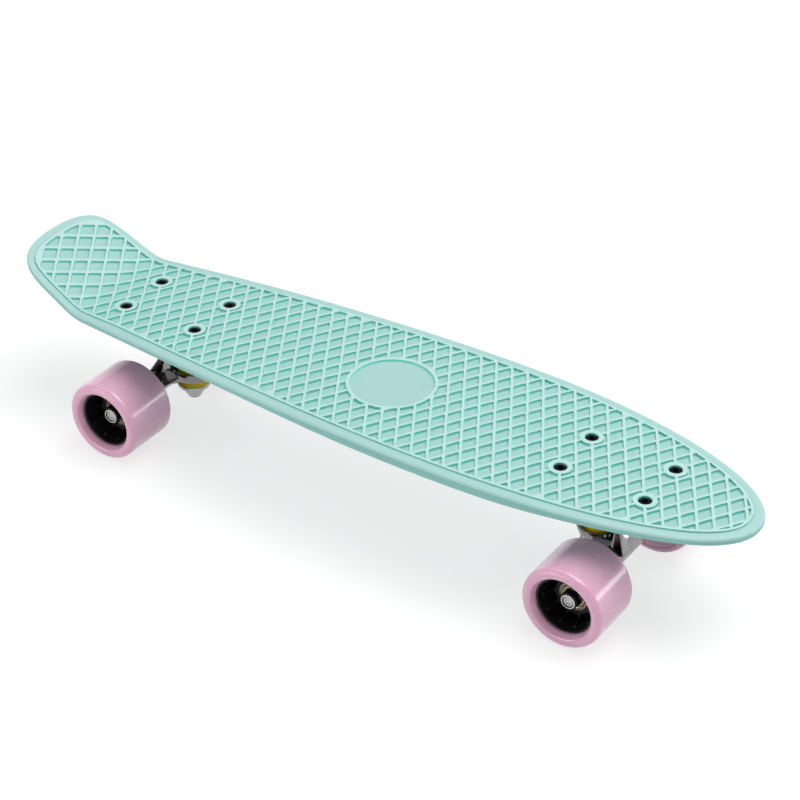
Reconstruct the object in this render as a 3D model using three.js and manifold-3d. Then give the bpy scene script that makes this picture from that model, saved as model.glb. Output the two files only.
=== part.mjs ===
// Cruiser skateboard: a moulded plastic deck with a waffle top, two steering trucks and four wheels.
// Millimetres. +X points to the nose, +Y to the left side, +Z up. The floor is at z = 0.

import * as THREE from 'three';
import { ConvexGeometry } from 'three/addons/geometries/ConvexGeometry.js';
import { mergeVertices } from 'three/addons/utils/BufferGeometryUtils.js';
import Module from 'manifold-3d';

const wasm = await Module();
wasm.setup();

// Fits
const gap = 0.3;
const overrun = 6;

// Deck: outline, seen from above. Distances along X are from the middle between the trucks.
const noseReach = 289.5;
const widestPlace = 60;
const deckHalfWidth = 73;
const creasePlace = 242;
const creaseHalfWidth = 49.7;
const tailReach = 60.3;
const tailTaper = 4.4;
const noseFullness = 2.15;
const sideCurve = 1.8;
const sideEase = 1.06;
const tailLengthFullness = 7;
const tailWidthFullness = 2.37;
const noseSteps = 9;
const sideSteps = 6;
const tailSteps = 8;

// Deck: camber and kicktail. Its height follows from the truck.
const camberDrop = 1.45;
const camberPower = 2.8;
const levelReach = 45;
const tailAngle = THREE.MathUtils.degToRad(27.2);
const bendLength = 18;
const bendSteps = 4;
const fallSteps = 3;

// Deck: moulded sections, as depths below the top of the waffle's ribs
const waffleDepth = 2;
const plateThickness = 3.4;
const rimStep = 1;
const rimWidth = 7.8;
const rimWidthTail = 6.2;
const rimNarrowStart = 200;
const rimRound = 3.4;
const rimRoundShare = 0.45;
const skirtRoundShare = 0.3;
const skirtRound = 2.4;
const skirtWall = 5.2;
const skirtDepthEnds = 6.1;
const skirtDepthMiddle = 8.9;
const skirtRearStart = -130;
const skirtRearEnd = 40;
const skirtFrontStart = 120;
const skirtFrontEnd = 220;

// Deck: waffle, medallion, bosses and the ribs below
const borderWidth = 1.7;
const ribWidth = 1.9;
const ribSpacing = 12.71;
const ribAngle = THREE.MathUtils.degToRad(30.8);
const ribPhaseShare = -0.03;
const medallionPlace = 5;
const medallionRadius = 32.2;
const medallionRingWidth = 2.7;
const medallionSteps = 32;
const bossRadius = 8;
const bossSteps = 12;
const underRibWidth = 3;
const underRibDepth = 7.6;
const underRibReach = 138;
const underRibOffset = 24;
const crossRibCount = 5;

// Deck bolts and nuts
const boltPatternLength = 63.5;
const boltPatternWidth = 41.3;
const boltRadius = 2.4;
const boltHeadRadius = 4.4;
const boltHeadHeight = 3;
const boltHeadSink = 0.9;
const boltRecessGap = 0.4;
const boltSocketRadius = 2.3;
const boltSocketDepth = 2;
const boltTip = 1.2;
const deckNutAcross = 8.7;
const deckNutHeight = 5.4;
const boltSteps = 8;

// Truck: where it sits
const truckPlace = 184.2;
const padDepth = 11;
const padLength = 86;
const padWidth = 62;
const padCorner = 9;
const axleOffset = 7.8;
const kingpinOffset = -11.2;

// Truck: baseplate
const baseLength = 79;
const baseWidth = 55;
const baseThickness = 5.5;
const baseCorner = 7;
const kingpinBossRadius = 12.5;
const kingpinBossFoot = 16;
const kingpinBossHeight = 20.1;
const pivotHousingRadius = 12.4;
const baseWebWidth = 12;
const cornerSteps = 2;

// Truck: kingpin and what it clamps
const kingpinRadius = 4.76;
const kingpinHeadAcross = 14.3;
const kingpinHeadHeight = 6.4;
const kingpinNutAcross = 14.3;
const kingpinNutHeight = 6.6;
const kingpinTip = 0.9;
const kingpinNutDomeShare = 0.6;
const bushingRadius = 11.9;
const bushingWaistShare = 0.93;
const boardBushingHeight = 10.7;
const roadBushingHeight = 7.2;
const washerThickness = 2.2;
const washerRim = 3.2;
const washerWall = 0.7;
const washerFootShare = 0.68;
const roundSteps = 16;
const smallSteps = 12;

// Truck: hanger, steering pivot and axle
const ringTop = 39.8;
const ringHeight = 6;
const ringTopRadius = 14.8;
const ringFootRadius = 13.6;
const ringHoleRadius = 6.8;
const webHalfWidth = 20.4;
const webDraft = 0.8;
const ridgeHalfWidth = 12.5;
const ridgeInset = 3.2;
const barRadius = 7.4;
const barFace = 6.8;
const barDraft = 1;
const barDepth = 6.8;
const barDrop = 5.8;
const barRise = 5.2;
const barEndRadius = 6.9;
const barShoulder = 20;
const barHalfLength = 41.2;
const hangerClearance = 1.1;
const steerAngle = THREE.MathUtils.degToRad(37.5);
const pivotReach = 40.3;
const pivotRadius = 6.4;
const pivotStubLength = 15;
const pivotCupWall = 2.6;
const pivotCupDepth = 9;
const armFootHalfWidth = 18;
const armFootOut = 2.4;
const armRootRadius = 9.8;
const axleRadius = 3.97;
const axleHalfLength = 73;
const axleCollarRadius = 6;
const axleCollarThickness = 0.8;

// Wheels and bearings
const wheelRadius = 30;
const wheelWidth = 45;
const wheelOuterFace = 83.9;
const wheelLip = 4;
const wheelFaceShare = 0.86;
const wheelSteps = 24;
const coreRadius = 20;
const coreSink = 5.9;
const coreInnerSink = 2.6;
const coreWall = 2.2;
const coreBossWall = 2.4;
const coreWebThickness = 4;
const coreSpokeCount = 8;
const coreSpokeWidth = 1.8;
const coreSteps = 16;
const bearingRadius = 11;
const bearingBore = 4;
const bearingWidth = 7;
const bearingRace = 2;
const bearingShieldSink = 0.4;
const bearingSpan = 24;
const bearingSink = 17.3;
const bearingSteps = 12;
const axleNutAcross = 12.7;
const axleNutHeight = 4.6;
const axleNutCollarRadius = 5.6;
const axleNutCollarHeight = 1.3;
const axleWasherRadius = 6.6;
const axleWasherThickness = 0.8;

const halfTurn = Math.PI;
const quarterTurn = Math.PI / 2;

// Heights, from the hanger's ring up to the deck's rib tops over the truck's middle and at their highest
const ringFoot = ringTop - ringHeight;
const ringMiddle = ringTop - ringHeight / 2;
const boardBushingTop = ringTop + gap + boardBushingHeight;
const boardWasherTop = boardBushingTop + gap + washerThickness;
const kingpinBossBottom = boardWasherTop + gap;
const baseFoot = kingpinBossBottom + kingpinBossHeight;
const baseTop = baseFoot + baseThickness;
const padFoot = baseTop + gap;
const truckDeckHeight = padFoot + padDepth;
const deckHeight = truckDeckHeight + camberDrop;

// Finishes
function finish(colour, roughness, metalness) {
  return new THREE.MeshStandardMaterial({ color: colour, roughness, metalness });
}

const mintPlastic = finish('#a3d8d2', 0.55, 0);
const blackSteel = finish('#17181a', 0.4, 0.8);
const castMetal = finish('#b9babd', 0.22, 1);
const zincSteel = finish('#a9a9a6', 0.35, 1);
const yellowUrethane = finish('#d3b800', 0.45, 0);
const pinkUrethane = finish('#d8a3bd', 0.4, 0);
const blackPlastic = finish('#0d0d0f', 0.5, 0);

// Solids from three.js geometry, and back again
function solid(geometry) {
  const bare = geometry.index ? geometry.toNonIndexed() : geometry.clone();
  bare.deleteAttribute('normal');
  bare.deleteAttribute('uv');
  const merged = mergeVertices(bare, 1e-4);
  const vertProperties = new Float32Array(merged.attributes.position.array);
  const triVerts = new Uint32Array(merged.index.array);
  return new wasm.Manifold(new wasm.Mesh({ numProp: 3, vertProperties, triVerts }));
}

function geometryOf(body) {
  const mesh = body.getMesh();
  const geometry = new THREE.BufferGeometry();
  const positions = new Float32Array((mesh.vertProperties.length / mesh.numProp) * 3);
  for (let i = 0; i < positions.length / 3; i += 1) {
    for (let axis = 0; axis < 3; axis += 1) {
      positions[3 * i + axis] = mesh.vertProperties[mesh.numProp * i + axis];
    }
  }
  geometry.setAttribute('position', new THREE.BufferAttribute(positions, 3));
  geometry.setIndex(new THREE.BufferAttribute(new Uint32Array(mesh.triVerts), 1));
  geometry.computeVertexNormals();
  return geometry;
}

function joined(parts) {
  return parts.reduce((whole, part) => whole.add(part));
}

// A closed outline raised along Z from one height to another
function planSolid(points, low, high) {
  const geometry = new THREE.ExtrudeGeometry(new THREE.Shape(points), {
    depth: high - low,
    bevelEnabled: false,
  });
  geometry.translate(0, 0, low);
  return solid(geometry);
}

// A profile of [radius, height] pairs turned about Z
function turned(profile, steps, phase = 0) {
  const points = profile.map(([radius, height]) => new THREE.Vector2(radius, height));
  const geometry = new THREE.LatheGeometry(points, steps, phase);
  geometry.rotateX(quarterTurn);
  return solid(geometry);
}

// A profile of [radius, distance along Y] pairs turned about Y
function turnedAcross(profile, steps, phase = 0) {
  const points = profile.map(([radius, along]) => new THREE.Vector2(radius, along));
  return solid(new THREE.LatheGeometry(points, steps, phase));
}

function rod(radius, low, high, steps) {
  return turned([[0, low], [radius, low], [radius, high], [0, high]], steps);
}

function hexagon(across, low, high) {
  const cornerRadius = across / 2 / Math.cos(Math.PI / 6);
  return turned([[0, low], [cornerRadius, low], [cornerRadius, high], [0, high]], 6);
}

function roundedRectangle(length, width, corner) {
  const points = [];
  const signs = [[1, 1], [-1, 1], [-1, -1], [1, -1]];
  signs.forEach(([signX, signY], quadrant) => {
    for (let step = 0; step <= cornerSteps; step += 1) {
      const turn = quarterTurn * (quadrant + step / cornerSteps);
      const x = signX * (length / 2 - corner) + corner * Math.cos(turn);
      const y = signY * (width / 2 - corner) + corner * Math.sin(turn);
      points.push(new THREE.Vector2(x, y));
    }
  });
  return points;
}

function circlePoints(x, y, radius, steps) {
  const points = [];
  for (let step = 0; step < steps; step += 1) {
    const turn = (2 * Math.PI * step) / steps;
    points.push(new THREE.Vector2(x + radius * Math.cos(turn), y + radius * Math.sin(turn)));
  }
  return points;
}

// Deck: half-outline from the nose's tip along the left side to the tail's tip
function halfOutline() {
  const points = [];
  for (let step = 0; step <= noseSteps; step += 1) {
    const turn = quarterTurn * (1 - step / noseSteps);
    const along = Math.sin(turn) ** (2 / noseFullness);
    const across = Math.max(Math.cos(turn), 0) ** (2 / noseFullness);
    points.push([widestPlace + (noseReach - widestPlace) * along, step ? deckHalfWidth * across : 0]);
  }
  const sideLength = widestPlace + creasePlace;
  for (let step = 1; step <= sideSteps; step += 1) {
    const share = step / sideSteps;
    const widening = (deckHalfWidth - creaseHalfWidth) * (1 - share ** sideCurve) ** sideEase;
    points.push([widestPlace - sideLength * share, creaseHalfWidth + widening]);
  }
  for (let step = 1; step <= tailSteps; step += 1) {
    const turn = (quarterTurn * step) / tailSteps;
    const along = Math.sin(turn) ** (2 / tailLengthFullness);
    const across = step < tailSteps ? Math.cos(turn) ** (2 / tailWidthFullness) : 0;
    points.push([-creasePlace - tailReach * along, (creaseHalfWidth - tailTaper * along) * across]);
  }
  return points;
}

function deckOutline() {
  const left = halfOutline();
  const right = left.slice(1, -1).reverse().map(([x, y]) => [x, -y]);
  return left.concat(right).map(([x, y]) => new THREE.Vector2(x, y));
}

function inwardNormals(points) {
  return points.map((_, i) => {
    const before = points[(i + points.length - 1) % points.length];
    const after = points[(i + 1) % points.length];
    const run = after.clone().sub(before).normalize();
    return new THREE.Vector2(-run.y, run.x);
  });
}

// The flat rim is narrower round the kicktail
function rimWidthAt(x) {
  const share = THREE.MathUtils.smoothstep(x, -creasePlace, -rimNarrowStart);
  return rimWidthTail + (rimWidth - rimWidthTail) * share;
}

// The outline of the rim's inner edge, or one further inwards
function insetOutline(further = 0) {
  const points = deckOutline();
  const normals = inwardNormals(points);
  return points.map((point, i) => point.clone().addScaledVector(
    normals[i], rimWidthAt(point.x) + further));
}

// Deck: side line of the rib tops. It falls gently from the middle to both ends and bends up into the
// kicktail.
function fall(x) {
  return camberDrop * (Math.abs(x) / truckPlace) ** camberPower;
}

function smoothHeight(x) {
  const bendStart = bendLength / 2 - creasePlace;
  if (x >= bendStart) {
    return deckHeight - fall(x);
  }
  const back = bendStart - x;
  const startSlope = -fall(bendStart) * (camberPower / -bendStart);
  const slopeGain = Math.tan(tailAngle) - startSlope;
  const bent = Math.min(back, bendLength);
  const gained = (bent * bent) / (2 * bendLength) + (back - bent);
  return deckHeight - fall(bendStart) + startSlope * back + slopeGain * gained;
}

// Between the stations the deck is straight. The medallion's stretch is level.
function sideStations() {
  const bendStart = bendLength / 2 - creasePlace;
  const front = noseReach + overrun;
  const stations = [-creasePlace - tailReach - overrun];
  for (let step = bendSteps; step >= 1; step -= 1) {
    stations.push(bendStart - (bendLength * step) / bendSteps);
  }
  for (let step = 0; step <= fallSteps; step += 1) {
    stations.push(bendStart + ((-levelReach - bendStart) * step) / fallSteps);
  }
  for (let step = 0; step <= fallSteps; step += 1) {
    stations.push(levelReach + ((front - levelReach) * step) / fallSteps);
  }
  return stations;
}

const stations = sideStations();
const stationHeights = stations.map(smoothHeight);

function topHeight(x) {
  const last = stations.length - 2;
  const next = stations.findIndex((station) => station > x);
  const i = next < 0 ? last : Math.min(Math.max(next - 1, 0), last);
  const share = (x - stations[i]) / (stations[i + 1] - stations[i]);
  return stationHeights[i] + share * (stationHeights[i + 1] - stationHeights[i]);
}

// The skirt is deepest along the middle of the deck
function skirtDepth(x) {
  const risen = THREE.MathUtils.smoothstep(x, skirtRearStart, skirtRearEnd);
  const fallen = THREE.MathUtils.smoothstep(x, skirtFrontStart, skirtFrontEnd);
  return skirtDepthEnds + (skirtDepthMiddle - skirtDepthEnds) * (risen - fallen);
}

// A layer that follows the side line between two depths below the rib tops
function layer(topDepth, footDepth) {
  const halfWidth = deckHalfWidth + overrun;
  const upper = stations.map((x) => new THREE.Vector2(x, topHeight(x) - topDepth));
  const lower = stations.map((x) => new THREE.Vector2(x, topHeight(x) - footDepth)).reverse();
  const geometry = new THREE.ExtrudeGeometry(new THREE.Shape(upper.concat(lower)), {
    depth: 2 * halfWidth,
    bevelEnabled: false,
  });
  geometry.rotateX(quarterTurn);
  geometry.translate(0, halfWidth, 0);
  return solid(geometry);
}

const layerLow = 0;
const layerHigh = deckHeight + tailReach + overrun;

function boltPlaces() {
  const places = [];
  for (const end of [-1, 1]) {
    for (const signX of [-1, 1]) {
      for (const signY of [-1, 1]) {
        const x = end * truckPlace + (signX * boltPatternLength) / 2;
        places.push([x, (signY * boltPatternWidth) / 2]);
      }
    }
  }
  return places;
}

// Deck: the rounded rim and skirt, a closed ring swept along the outline
function rimSection(x) {
  const depth = skirtDepth(x);
  const side = depth - rimStep;
  const roundHeight = rimRoundShare * side;
  const footHeight = skirtRoundShare * side;
  const near = 1 - Math.SQRT1_2;
  const plateFoot = waffleDepth + plateThickness;
  const inside = rimWidthAt(x) + borderWidth / 2;
  return [
    [inside, rimStep],
    [rimRound, rimStep],
    [rimRound * near, rimStep + roundHeight * near],
    [0, rimStep + roundHeight],
    [0, depth - footHeight],
    [skirtRound * near, depth - footHeight * near],
    [skirtRound, depth],
    [skirtWall, depth],
    [skirtWall, plateFoot],
    [inside, plateFoot],
  ];
}

function rimSolid() {
  const outline = deckOutline();
  const normals = inwardNormals(outline);
  const sections = outline.map((point, i) => rimSection(point.x).map(([inset, depth]) => {
    const place = point.clone().addScaledVector(normals[i], inset);
    return [place.x, place.y, topHeight(place.x) - depth];
  }));
  const points = sections.length;
  const corners = sections[0].length;
  const index = [];
  for (let i = 0; i < points; i += 1) {
    const next = (i + 1) % points;
    for (let j = 0; j < corners; j += 1) {
      const below = (j + 1) % corners;
      const a = i * corners + j;
      const b = next * corners + j;
      const c = next * corners + below;
      const d = i * corners + below;
      index.push(a, d, b, b, d, c);
    }
  }
  const geometry = new THREE.BufferGeometry();
  geometry.setAttribute('position', new THREE.Float32BufferAttribute(sections.flat(2), 3));
  geometry.setIndex(index);
  return solid(geometry);
}

// Deck: the raised ribs, which cross the board slantwise both ways
function ribBars() {
  const reach = deckHalfWidth + overrun;
  const length = (2 * reach) / Math.cos(ribAngle);
  const slant = reach * Math.tan(ribAngle);
  const first = Math.ceil((-creasePlace - tailReach - slant) / ribSpacing);
  const last = Math.floor((noseReach + slant) / ribSpacing);
  const families = [1, -1].map((sign) => {
    const bars = [];
    for (let i = first; i <= last; i += 1) {
      const bar = new THREE.BoxGeometry(ribWidth, length, layerHigh - layerLow);
      bar.rotateZ(sign * ribAngle);
      bar.translate((i + ribPhaseShare) * ribSpacing, 0, (layerHigh + layerLow) / 2);
      bars.push(solid(bar));
    }
    return joined(bars);
  });
  return joined(families);
}

function waffle() {
  const region = planSolid(insetOutline(), layerLow, layerHigh);
  const field = planSolid(insetOutline(borderWidth), layerLow - overrun, layerHigh + overrun);
  const border = region.subtract(field);
  const disc = (radius) => planSolid(
    circlePoints(medallionPlace, 0, radius, medallionSteps), layerLow, layerHigh);
  const bosses = boltPlaces().map(([x, y]) => planSolid(
    circlePoints(x, y, bossRadius, bossSteps), layerLow, layerHigh));
  const raised = joined([ribBars().intersect(region), border, disc(medallionRadius), ...bosses]);
  const sunk = raised.subtract(disc(medallionRadius - medallionRingWidth));
  return sunk.intersect(layer(0, waffleDepth + plateThickness / 2));
}

function underRibs() {
  const strips = [-1, 0, 1].map((side) => {
    const strip = roundedRectangle(2 * underRibReach, underRibWidth, underRibWidth / 3);
    return strip.map((point) => point.add(new THREE.Vector2(0, side * underRibOffset)));
  });
  for (let i = 0; i < crossRibCount; i += 1) {
    const x = underRibReach * ((2 * i) / (crossRibCount - 1) - 1) * (1 - 1 / crossRibCount);
    const strip = roundedRectangle(underRibWidth, 2 * creaseHalfWidth, underRibWidth / 3);
    strips.push(strip.map((point) => point.add(new THREE.Vector2(x, 0))));
  }
  const walls = joined(strips.map((strip) => planSolid(strip, layerLow, layerHigh)));
  return walls.intersect(layer(waffleDepth + plateThickness / 2, underRibDepth));
}

function truckPads() {
  return [-1, 1].map((end) => {
    const outline = roundedRectangle(padLength, padWidth, padCorner);
    const top = truckDeckHeight - waffleDepth - plateThickness / 2;
    const places = outline.map((point) => point.add(new THREE.Vector2(end * truckPlace, 0)));
    return planSolid(places, padFoot, top);
  });
}

function deckSolid() {
  const plate = planSolid(insetOutline(), layerLow, layerHigh)
    .intersect(layer(waffleDepth, waffleDepth + plateThickness));
  const whole = joined([plate, rimSolid(), underRibs(), ...truckPads(), waffle()]);
  const cuts = boltPlaces().map(([x, y]) => {
    const seat = boltSeat(x);
    const shank = rod(boltRadius + gap, padFoot - overrun, seat + gap, boltSteps);
    const recess = rod(boltHeadRadius + boltRecessGap, seat - gap, deckHeight + overrun, boltSteps);
    return shank.add(recess).translate([x, y, 0]);
  });
  return whole.subtract(joined(cuts));
}

// Deck fasteners. All bolts are alike, and each head is sunk below the rib tops where it stands.
function boltSeat(x) {
  return topHeight(x) - boltHeadSink - boltHeadHeight;
}

const deckNutFoot = baseFoot - gap - deckNutHeight;
const boltLength = boltSeat(truckPlace - boltPatternLength / 2) - deckNutFoot + boltTip;

// Made with the seat of its head at z = 0
function deckBolt() {
  const edge = boltHeadHeight / 4;
  const shape = turned([
    [0, -boltLength],
    [boltRadius, -boltLength],
    [boltRadius, 0],
    [boltHeadRadius, 0],
    [boltHeadRadius, boltHeadHeight - edge],
    [boltHeadRadius - edge, boltHeadHeight],
    [0, boltHeadHeight],
  ], boltSteps);
  const socket = turned([
    [0, boltHeadHeight - boltSocketDepth],
    [boltSocketRadius, boltHeadHeight - boltSocketDepth],
    [boltSocketRadius, boltHeadHeight + overrun],
    [0, boltHeadHeight + overrun],
  ], 6);
  return shape.subtract(socket);
}

function deckNut() {
  const bore = rod(boltRadius + gap, deckNutFoot - overrun, baseFoot + overrun, boltSteps);
  return hexagon(deckNutAcross, deckNutFoot, baseFoot - gap).subtract(bore);
}

// Truck: the steering line from the ring's middle up and outwards to the pivot, and the kingpin's pieces.
// In the truck's own frame X points to the nearer end of the board, from the bolt pattern's middle.
const pivotOut = kingpinOffset + pivotReach * Math.cos(steerAngle);
const pivotZ = ringMiddle + pivotReach * Math.sin(steerAngle);
const roadBushingFoot = ringFoot - gap - roadBushingHeight;
const roadWasherFoot = roadBushingFoot - gap - washerThickness;
const kingpinNutFoot = roadWasherFoot - gap - kingpinNutHeight;
const kingpinHeadSeat = baseTop - gap - kingpinHeadHeight;
const pivotCupRadius = pivotRadius + gap + pivotCupWall;

// Turns a body made about Z at the origin onto the steering line, with its z = 0 at the pivot
function alongPivot(body) {
  const tilt = THREE.MathUtils.radToDeg(quarterTurn - steerAngle);
  return body.rotate([0, tilt, 0]).translate([pivotOut, 0, pivotZ]);
}

function baseplate() {
  const outline = roundedRectangle(baseLength, baseWidth, baseCorner);
  const plate = planSolid(outline, baseFoot, baseTop + gap);
  const boss = turned([
    [0, kingpinBossBottom],
    [kingpinBossRadius - gap, kingpinBossBottom],
    [kingpinBossFoot, baseFoot + baseThickness / 2],
    [0, baseFoot + baseThickness / 2],
  ], roundSteps).translate([kingpinOffset, 0, 0]);
  const housingTop = baseTop - pivotZ + pivotHousingRadius;
  const housing = alongPivot(rod(pivotHousingRadius, -pivotCupDepth / 2, housingTop, roundSteps));
  const webFoot = kingpinBossBottom + gap;
  const webTop = baseFoot + baseThickness / 2;
  const webGeometry = new THREE.BoxGeometry(pivotOut - kingpinOffset, baseWebWidth, webTop - webFoot);
  webGeometry.translate((pivotOut + kingpinOffset) / 2, 0, (webTop + webFoot) / 2);
  const stubRoom = alongPivot(rod(pivotHousingRadius + gap, -pivotReach, -pivotCupDepth / 2, roundSteps));
  const room = planSolid(outline, pivotZ - pivotReach, baseTop);
  const whole = joined([plate, boss, housing, solid(webGeometry).subtract(stubRoom)]).intersect(room);
  const shank = rod(kingpinRadius + gap, layerLow, layerHigh, roundSteps);
  const head = hexagon(kingpinHeadAcross + gap, kingpinHeadSeat - gap, layerHigh);
  const cup = alongPivot(rod(pivotCupRadius + gap, -pivotCupDepth, pivotCupDepth + gap, roundSteps));
  const holes = [-1, 1].flatMap((signX) => [-1, 1].map((signY) => rod(
    boltRadius + gap, layerLow, layerHigh, boltSteps,
  ).translate([(signX * boltPatternLength) / 2, (signY * boltPatternWidth) / 2, 0])));
  const middle = joined([shank, head]).translate([kingpinOffset, 0, 0]);
  return whole.subtract(joined([middle, cup, ...holes]));
}

function pivotCup() {
  const inner = pivotRadius + gap;
  const floor = pivotCupDepth - pivotCupWall;
  return alongPivot(turned([
    [inner, -pivotCupDepth / 2],
    [pivotCupRadius, -pivotCupDepth / 2],
    [pivotCupRadius, pivotCupDepth],
    [0, pivotCupDepth],
    [0, floor],
    [inner * Math.SQRT1_2, floor - inner / 3],
    [inner, floor - inner],
    [inner, -pivotCupDepth / 2],
  ], roundSteps));
}

function kingpin() {
  const shank = rod(kingpinRadius, kingpinNutFoot - kingpinTip, kingpinHeadSeat + gap, roundSteps);
  const head = hexagon(kingpinHeadAcross, kingpinHeadSeat, kingpinHeadSeat + kingpinHeadHeight);
  return shank.add(head).translate([kingpinOffset, 0, 0]);
}

function kingpinNut() {
  const foot = kingpinNutFoot;
  const top = foot + kingpinNutHeight;
  const dome = turned([
    [0, foot],
    [kingpinNutAcross / 3, foot],
    [kingpinNutAcross / 2, foot + kingpinNutHeight / 3],
    [kingpinNutAcross * kingpinNutDomeShare, top],
    [0, top],
  ], roundSteps);
  const bore = rod(kingpinRadius + gap, foot - overrun, top + overrun, roundSteps);
  return hexagon(kingpinNutAcross, foot, top).intersect(dome).subtract(bore)
    .translate([kingpinOffset, 0, 0]);
}

function bushing(foot, height) {
  const waist = bushingRadius * bushingWaistShare;
  return turned([
    [kingpinRadius + gap, foot],
    [waist, foot],
    [bushingRadius, foot + height / 4],
    [bushingRadius, foot + (height * 3) / 4],
    [waist, foot + height],
    [kingpinRadius + gap, foot + height],
    [kingpinRadius + gap, foot],
  ], roundSteps).translate([kingpinOffset, 0, 0]);
}

// A cup washer: a disc with a bore and an upright rim round the bushing
function cupWasher(foot, up) {
  const place = (height) => foot + up * height;
  const inner = bushingRadius + gap;
  const rim = inner + washerWall;
  const profile = [
    [kingpinRadius + gap, place(0)],
    [rim * washerFootShare, place(0)],
    [rim, place(washerThickness)],
    [rim, place(washerThickness + washerRim)],
    [inner, place(washerThickness + washerRim)],
    [inner, place(washerThickness + washerThickness / 2)],
    [inner * bushingWaistShare, place(washerThickness)],
    [kingpinRadius + gap, place(washerThickness)],
    [kingpinRadius + gap, place(0)],
  ];
  return turned(up > 0 ? profile : profile.reverse(), roundSteps).translate([kingpinOffset, 0, 0]);
}

// The smallest convex solid round some [x, y, z] points, each given once for both sides of the truck
function facetedOnBothSides(points) {
  const both = points.flatMap(([x, y, z]) => [new THREE.Vector3(x, y, z), new THREE.Vector3(x, -y, z)]);
  return solid(new ConvexGeometry(both));
}

function ringPoints(radius, steps) {
  return circlePoints(0, 0, radius, steps);
}

// Truck: the hanger is one casting: a bar with a flat outer side for the axle, a bell-shaped ring for the
// kingpin's bushings, a web with sloping sides between them and an arm that carries the pivot stub.
function hanger() {
  const ring = turned([
    [0, ringFoot],
    [ringFootRadius, ringFoot],
    [ringTopRadius, ringTop - ringHeight / 3],
    [ringTopRadius, ringTop],
    [0, ringTop],
  ], roundSteps).translate([kingpinOffset, 0, 0]);
  const web = facetedOnBothSides([
    [kingpinOffset, ringTopRadius - webDraft, ringTop - gap],
    [axleOffset - ridgeInset, ridgeHalfWidth, ringTop - gap],
    [kingpinOffset, ringFootRadius - webDraft, ringFoot + gap],
    [axleOffset - barDepth, webHalfWidth, wheelRadius],
    [axleOffset, webHalfWidth, wheelRadius],
    [axleOffset, ridgeHalfWidth, ringTop - ridgeInset],
  ]);
  const clearRadius = bushingRadius + gap + washerWall + hangerClearance + gap;
  const below = rod(clearRadius, layerLow, ringFoot - gap, roundSteps);
  const hole = rod(ringHoleRadius, layerLow, layerHigh, roundSteps);
  const kingpinRoom = joined([below, hole]).translate([kingpinOffset, 0, 0]);
  const axleHole = turnedAcross([
    [0, -barHalfLength - overrun],
    [axleRadius + gap, -barHalfLength - overrun],
    [axleRadius + gap, barHalfLength + overrun],
    [0, barHalfLength + overrun],
  ], smallSteps).translate([axleOffset, 0, wheelRadius]);
  return joined([axleBar(), ring, web, pivotArm()]).subtract(kingpinRoom).subtract(axleHole);
}

function axleBar() {
  const section = [
    [barFace - barDraft, -barDrop],
    [barFace, barRise],
    [ridgeInset, barRadius],
    [-barDepth + ridgeInset, barRadius],
    [-barDepth, barRise],
    [-barDepth, -barDrop + ridgeInset],
    [-ridgeInset, -barRadius],
    [barFace - barDraft - ridgeInset, -barRadius],
  ];
  const middle = section.map(([x, z]) => [axleOffset + x, barShoulder, wheelRadius + z]);
  const ends = ringPoints(barEndRadius, smallSteps).map(
    (point) => [axleOffset + point.x, barHalfLength, wheelRadius + point.y]);
  return facetedOnBothSides(middle.concat(ends));
}

// The arm narrows from the bar up to the pivot stub, which is round about the steering line
function pivotArm() {
  const stubRoot = pivotReach - pivotStubLength;
  const rootX = kingpinOffset + stubRoot * Math.cos(steerAngle);
  const rootZ = ringMiddle + stubRoot * Math.sin(steerAngle);
  const root = ringPoints(armRootRadius, smallSteps).map((point) => [
    rootX - point.x * Math.sin(steerAngle), point.y, rootZ + point.x * Math.cos(steerAngle)]);
  const arm = facetedOnBothSides([
    [axleOffset - ridgeInset, ridgeHalfWidth - ridgeInset, ringTop - ridgeInset],
    [axleOffset - barDepth + ridgeInset, ridgeHalfWidth, wheelRadius],
    [axleOffset + barFace + armFootOut, armFootHalfWidth, wheelRadius + barRise],
    [axleOffset, armFootHalfWidth, wheelRadius + barRise / 2],
    ...root,
  ]);
  const inner = floorOfCup() - gap;
  const foot = -pivotStubLength - pivotRadius / 2;
  const stub = alongPivot(turned([
    [0, foot],
    [pivotRadius, foot],
    [pivotRadius, inner - pivotRadius],
    [pivotRadius * Math.SQRT1_2, inner - pivotRadius / 3],
    [0, inner],
  ], roundSteps));
  return arm.add(stub);
}

function floorOfCup() {
  return pivotCupDepth - pivotCupWall;
}

function axle() {
  const collarEnd = barHalfLength + gap + axleCollarThickness;
  return turnedAcross([
    [0, -axleHalfLength],
    [axleRadius, -axleHalfLength],
    [axleRadius, -collarEnd],
    [axleCollarRadius, -collarEnd],
    [axleCollarRadius, axleCollarThickness - collarEnd],
    [axleRadius, axleCollarThickness - collarEnd],
    [axleRadius, collarEnd - axleCollarThickness],
    [axleCollarRadius, collarEnd - axleCollarThickness],
    [axleCollarRadius, collarEnd],
    [axleRadius, collarEnd],
    [axleRadius, axleHalfLength],
    [0, axleHalfLength],
  ], smallSteps).translate([axleOffset, 0, wheelRadius]);
}

// Wheels: each is made at the left side about its own axle line, outer face towards +Y
const flatPhase = Math.PI / wheelSteps;
const innerFace = wheelOuterFace - wheelWidth;
const outerBearingFace = wheelOuterFace - bearingSink;
const innerBearingFace = outerBearingFace - bearingSpan;

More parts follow.
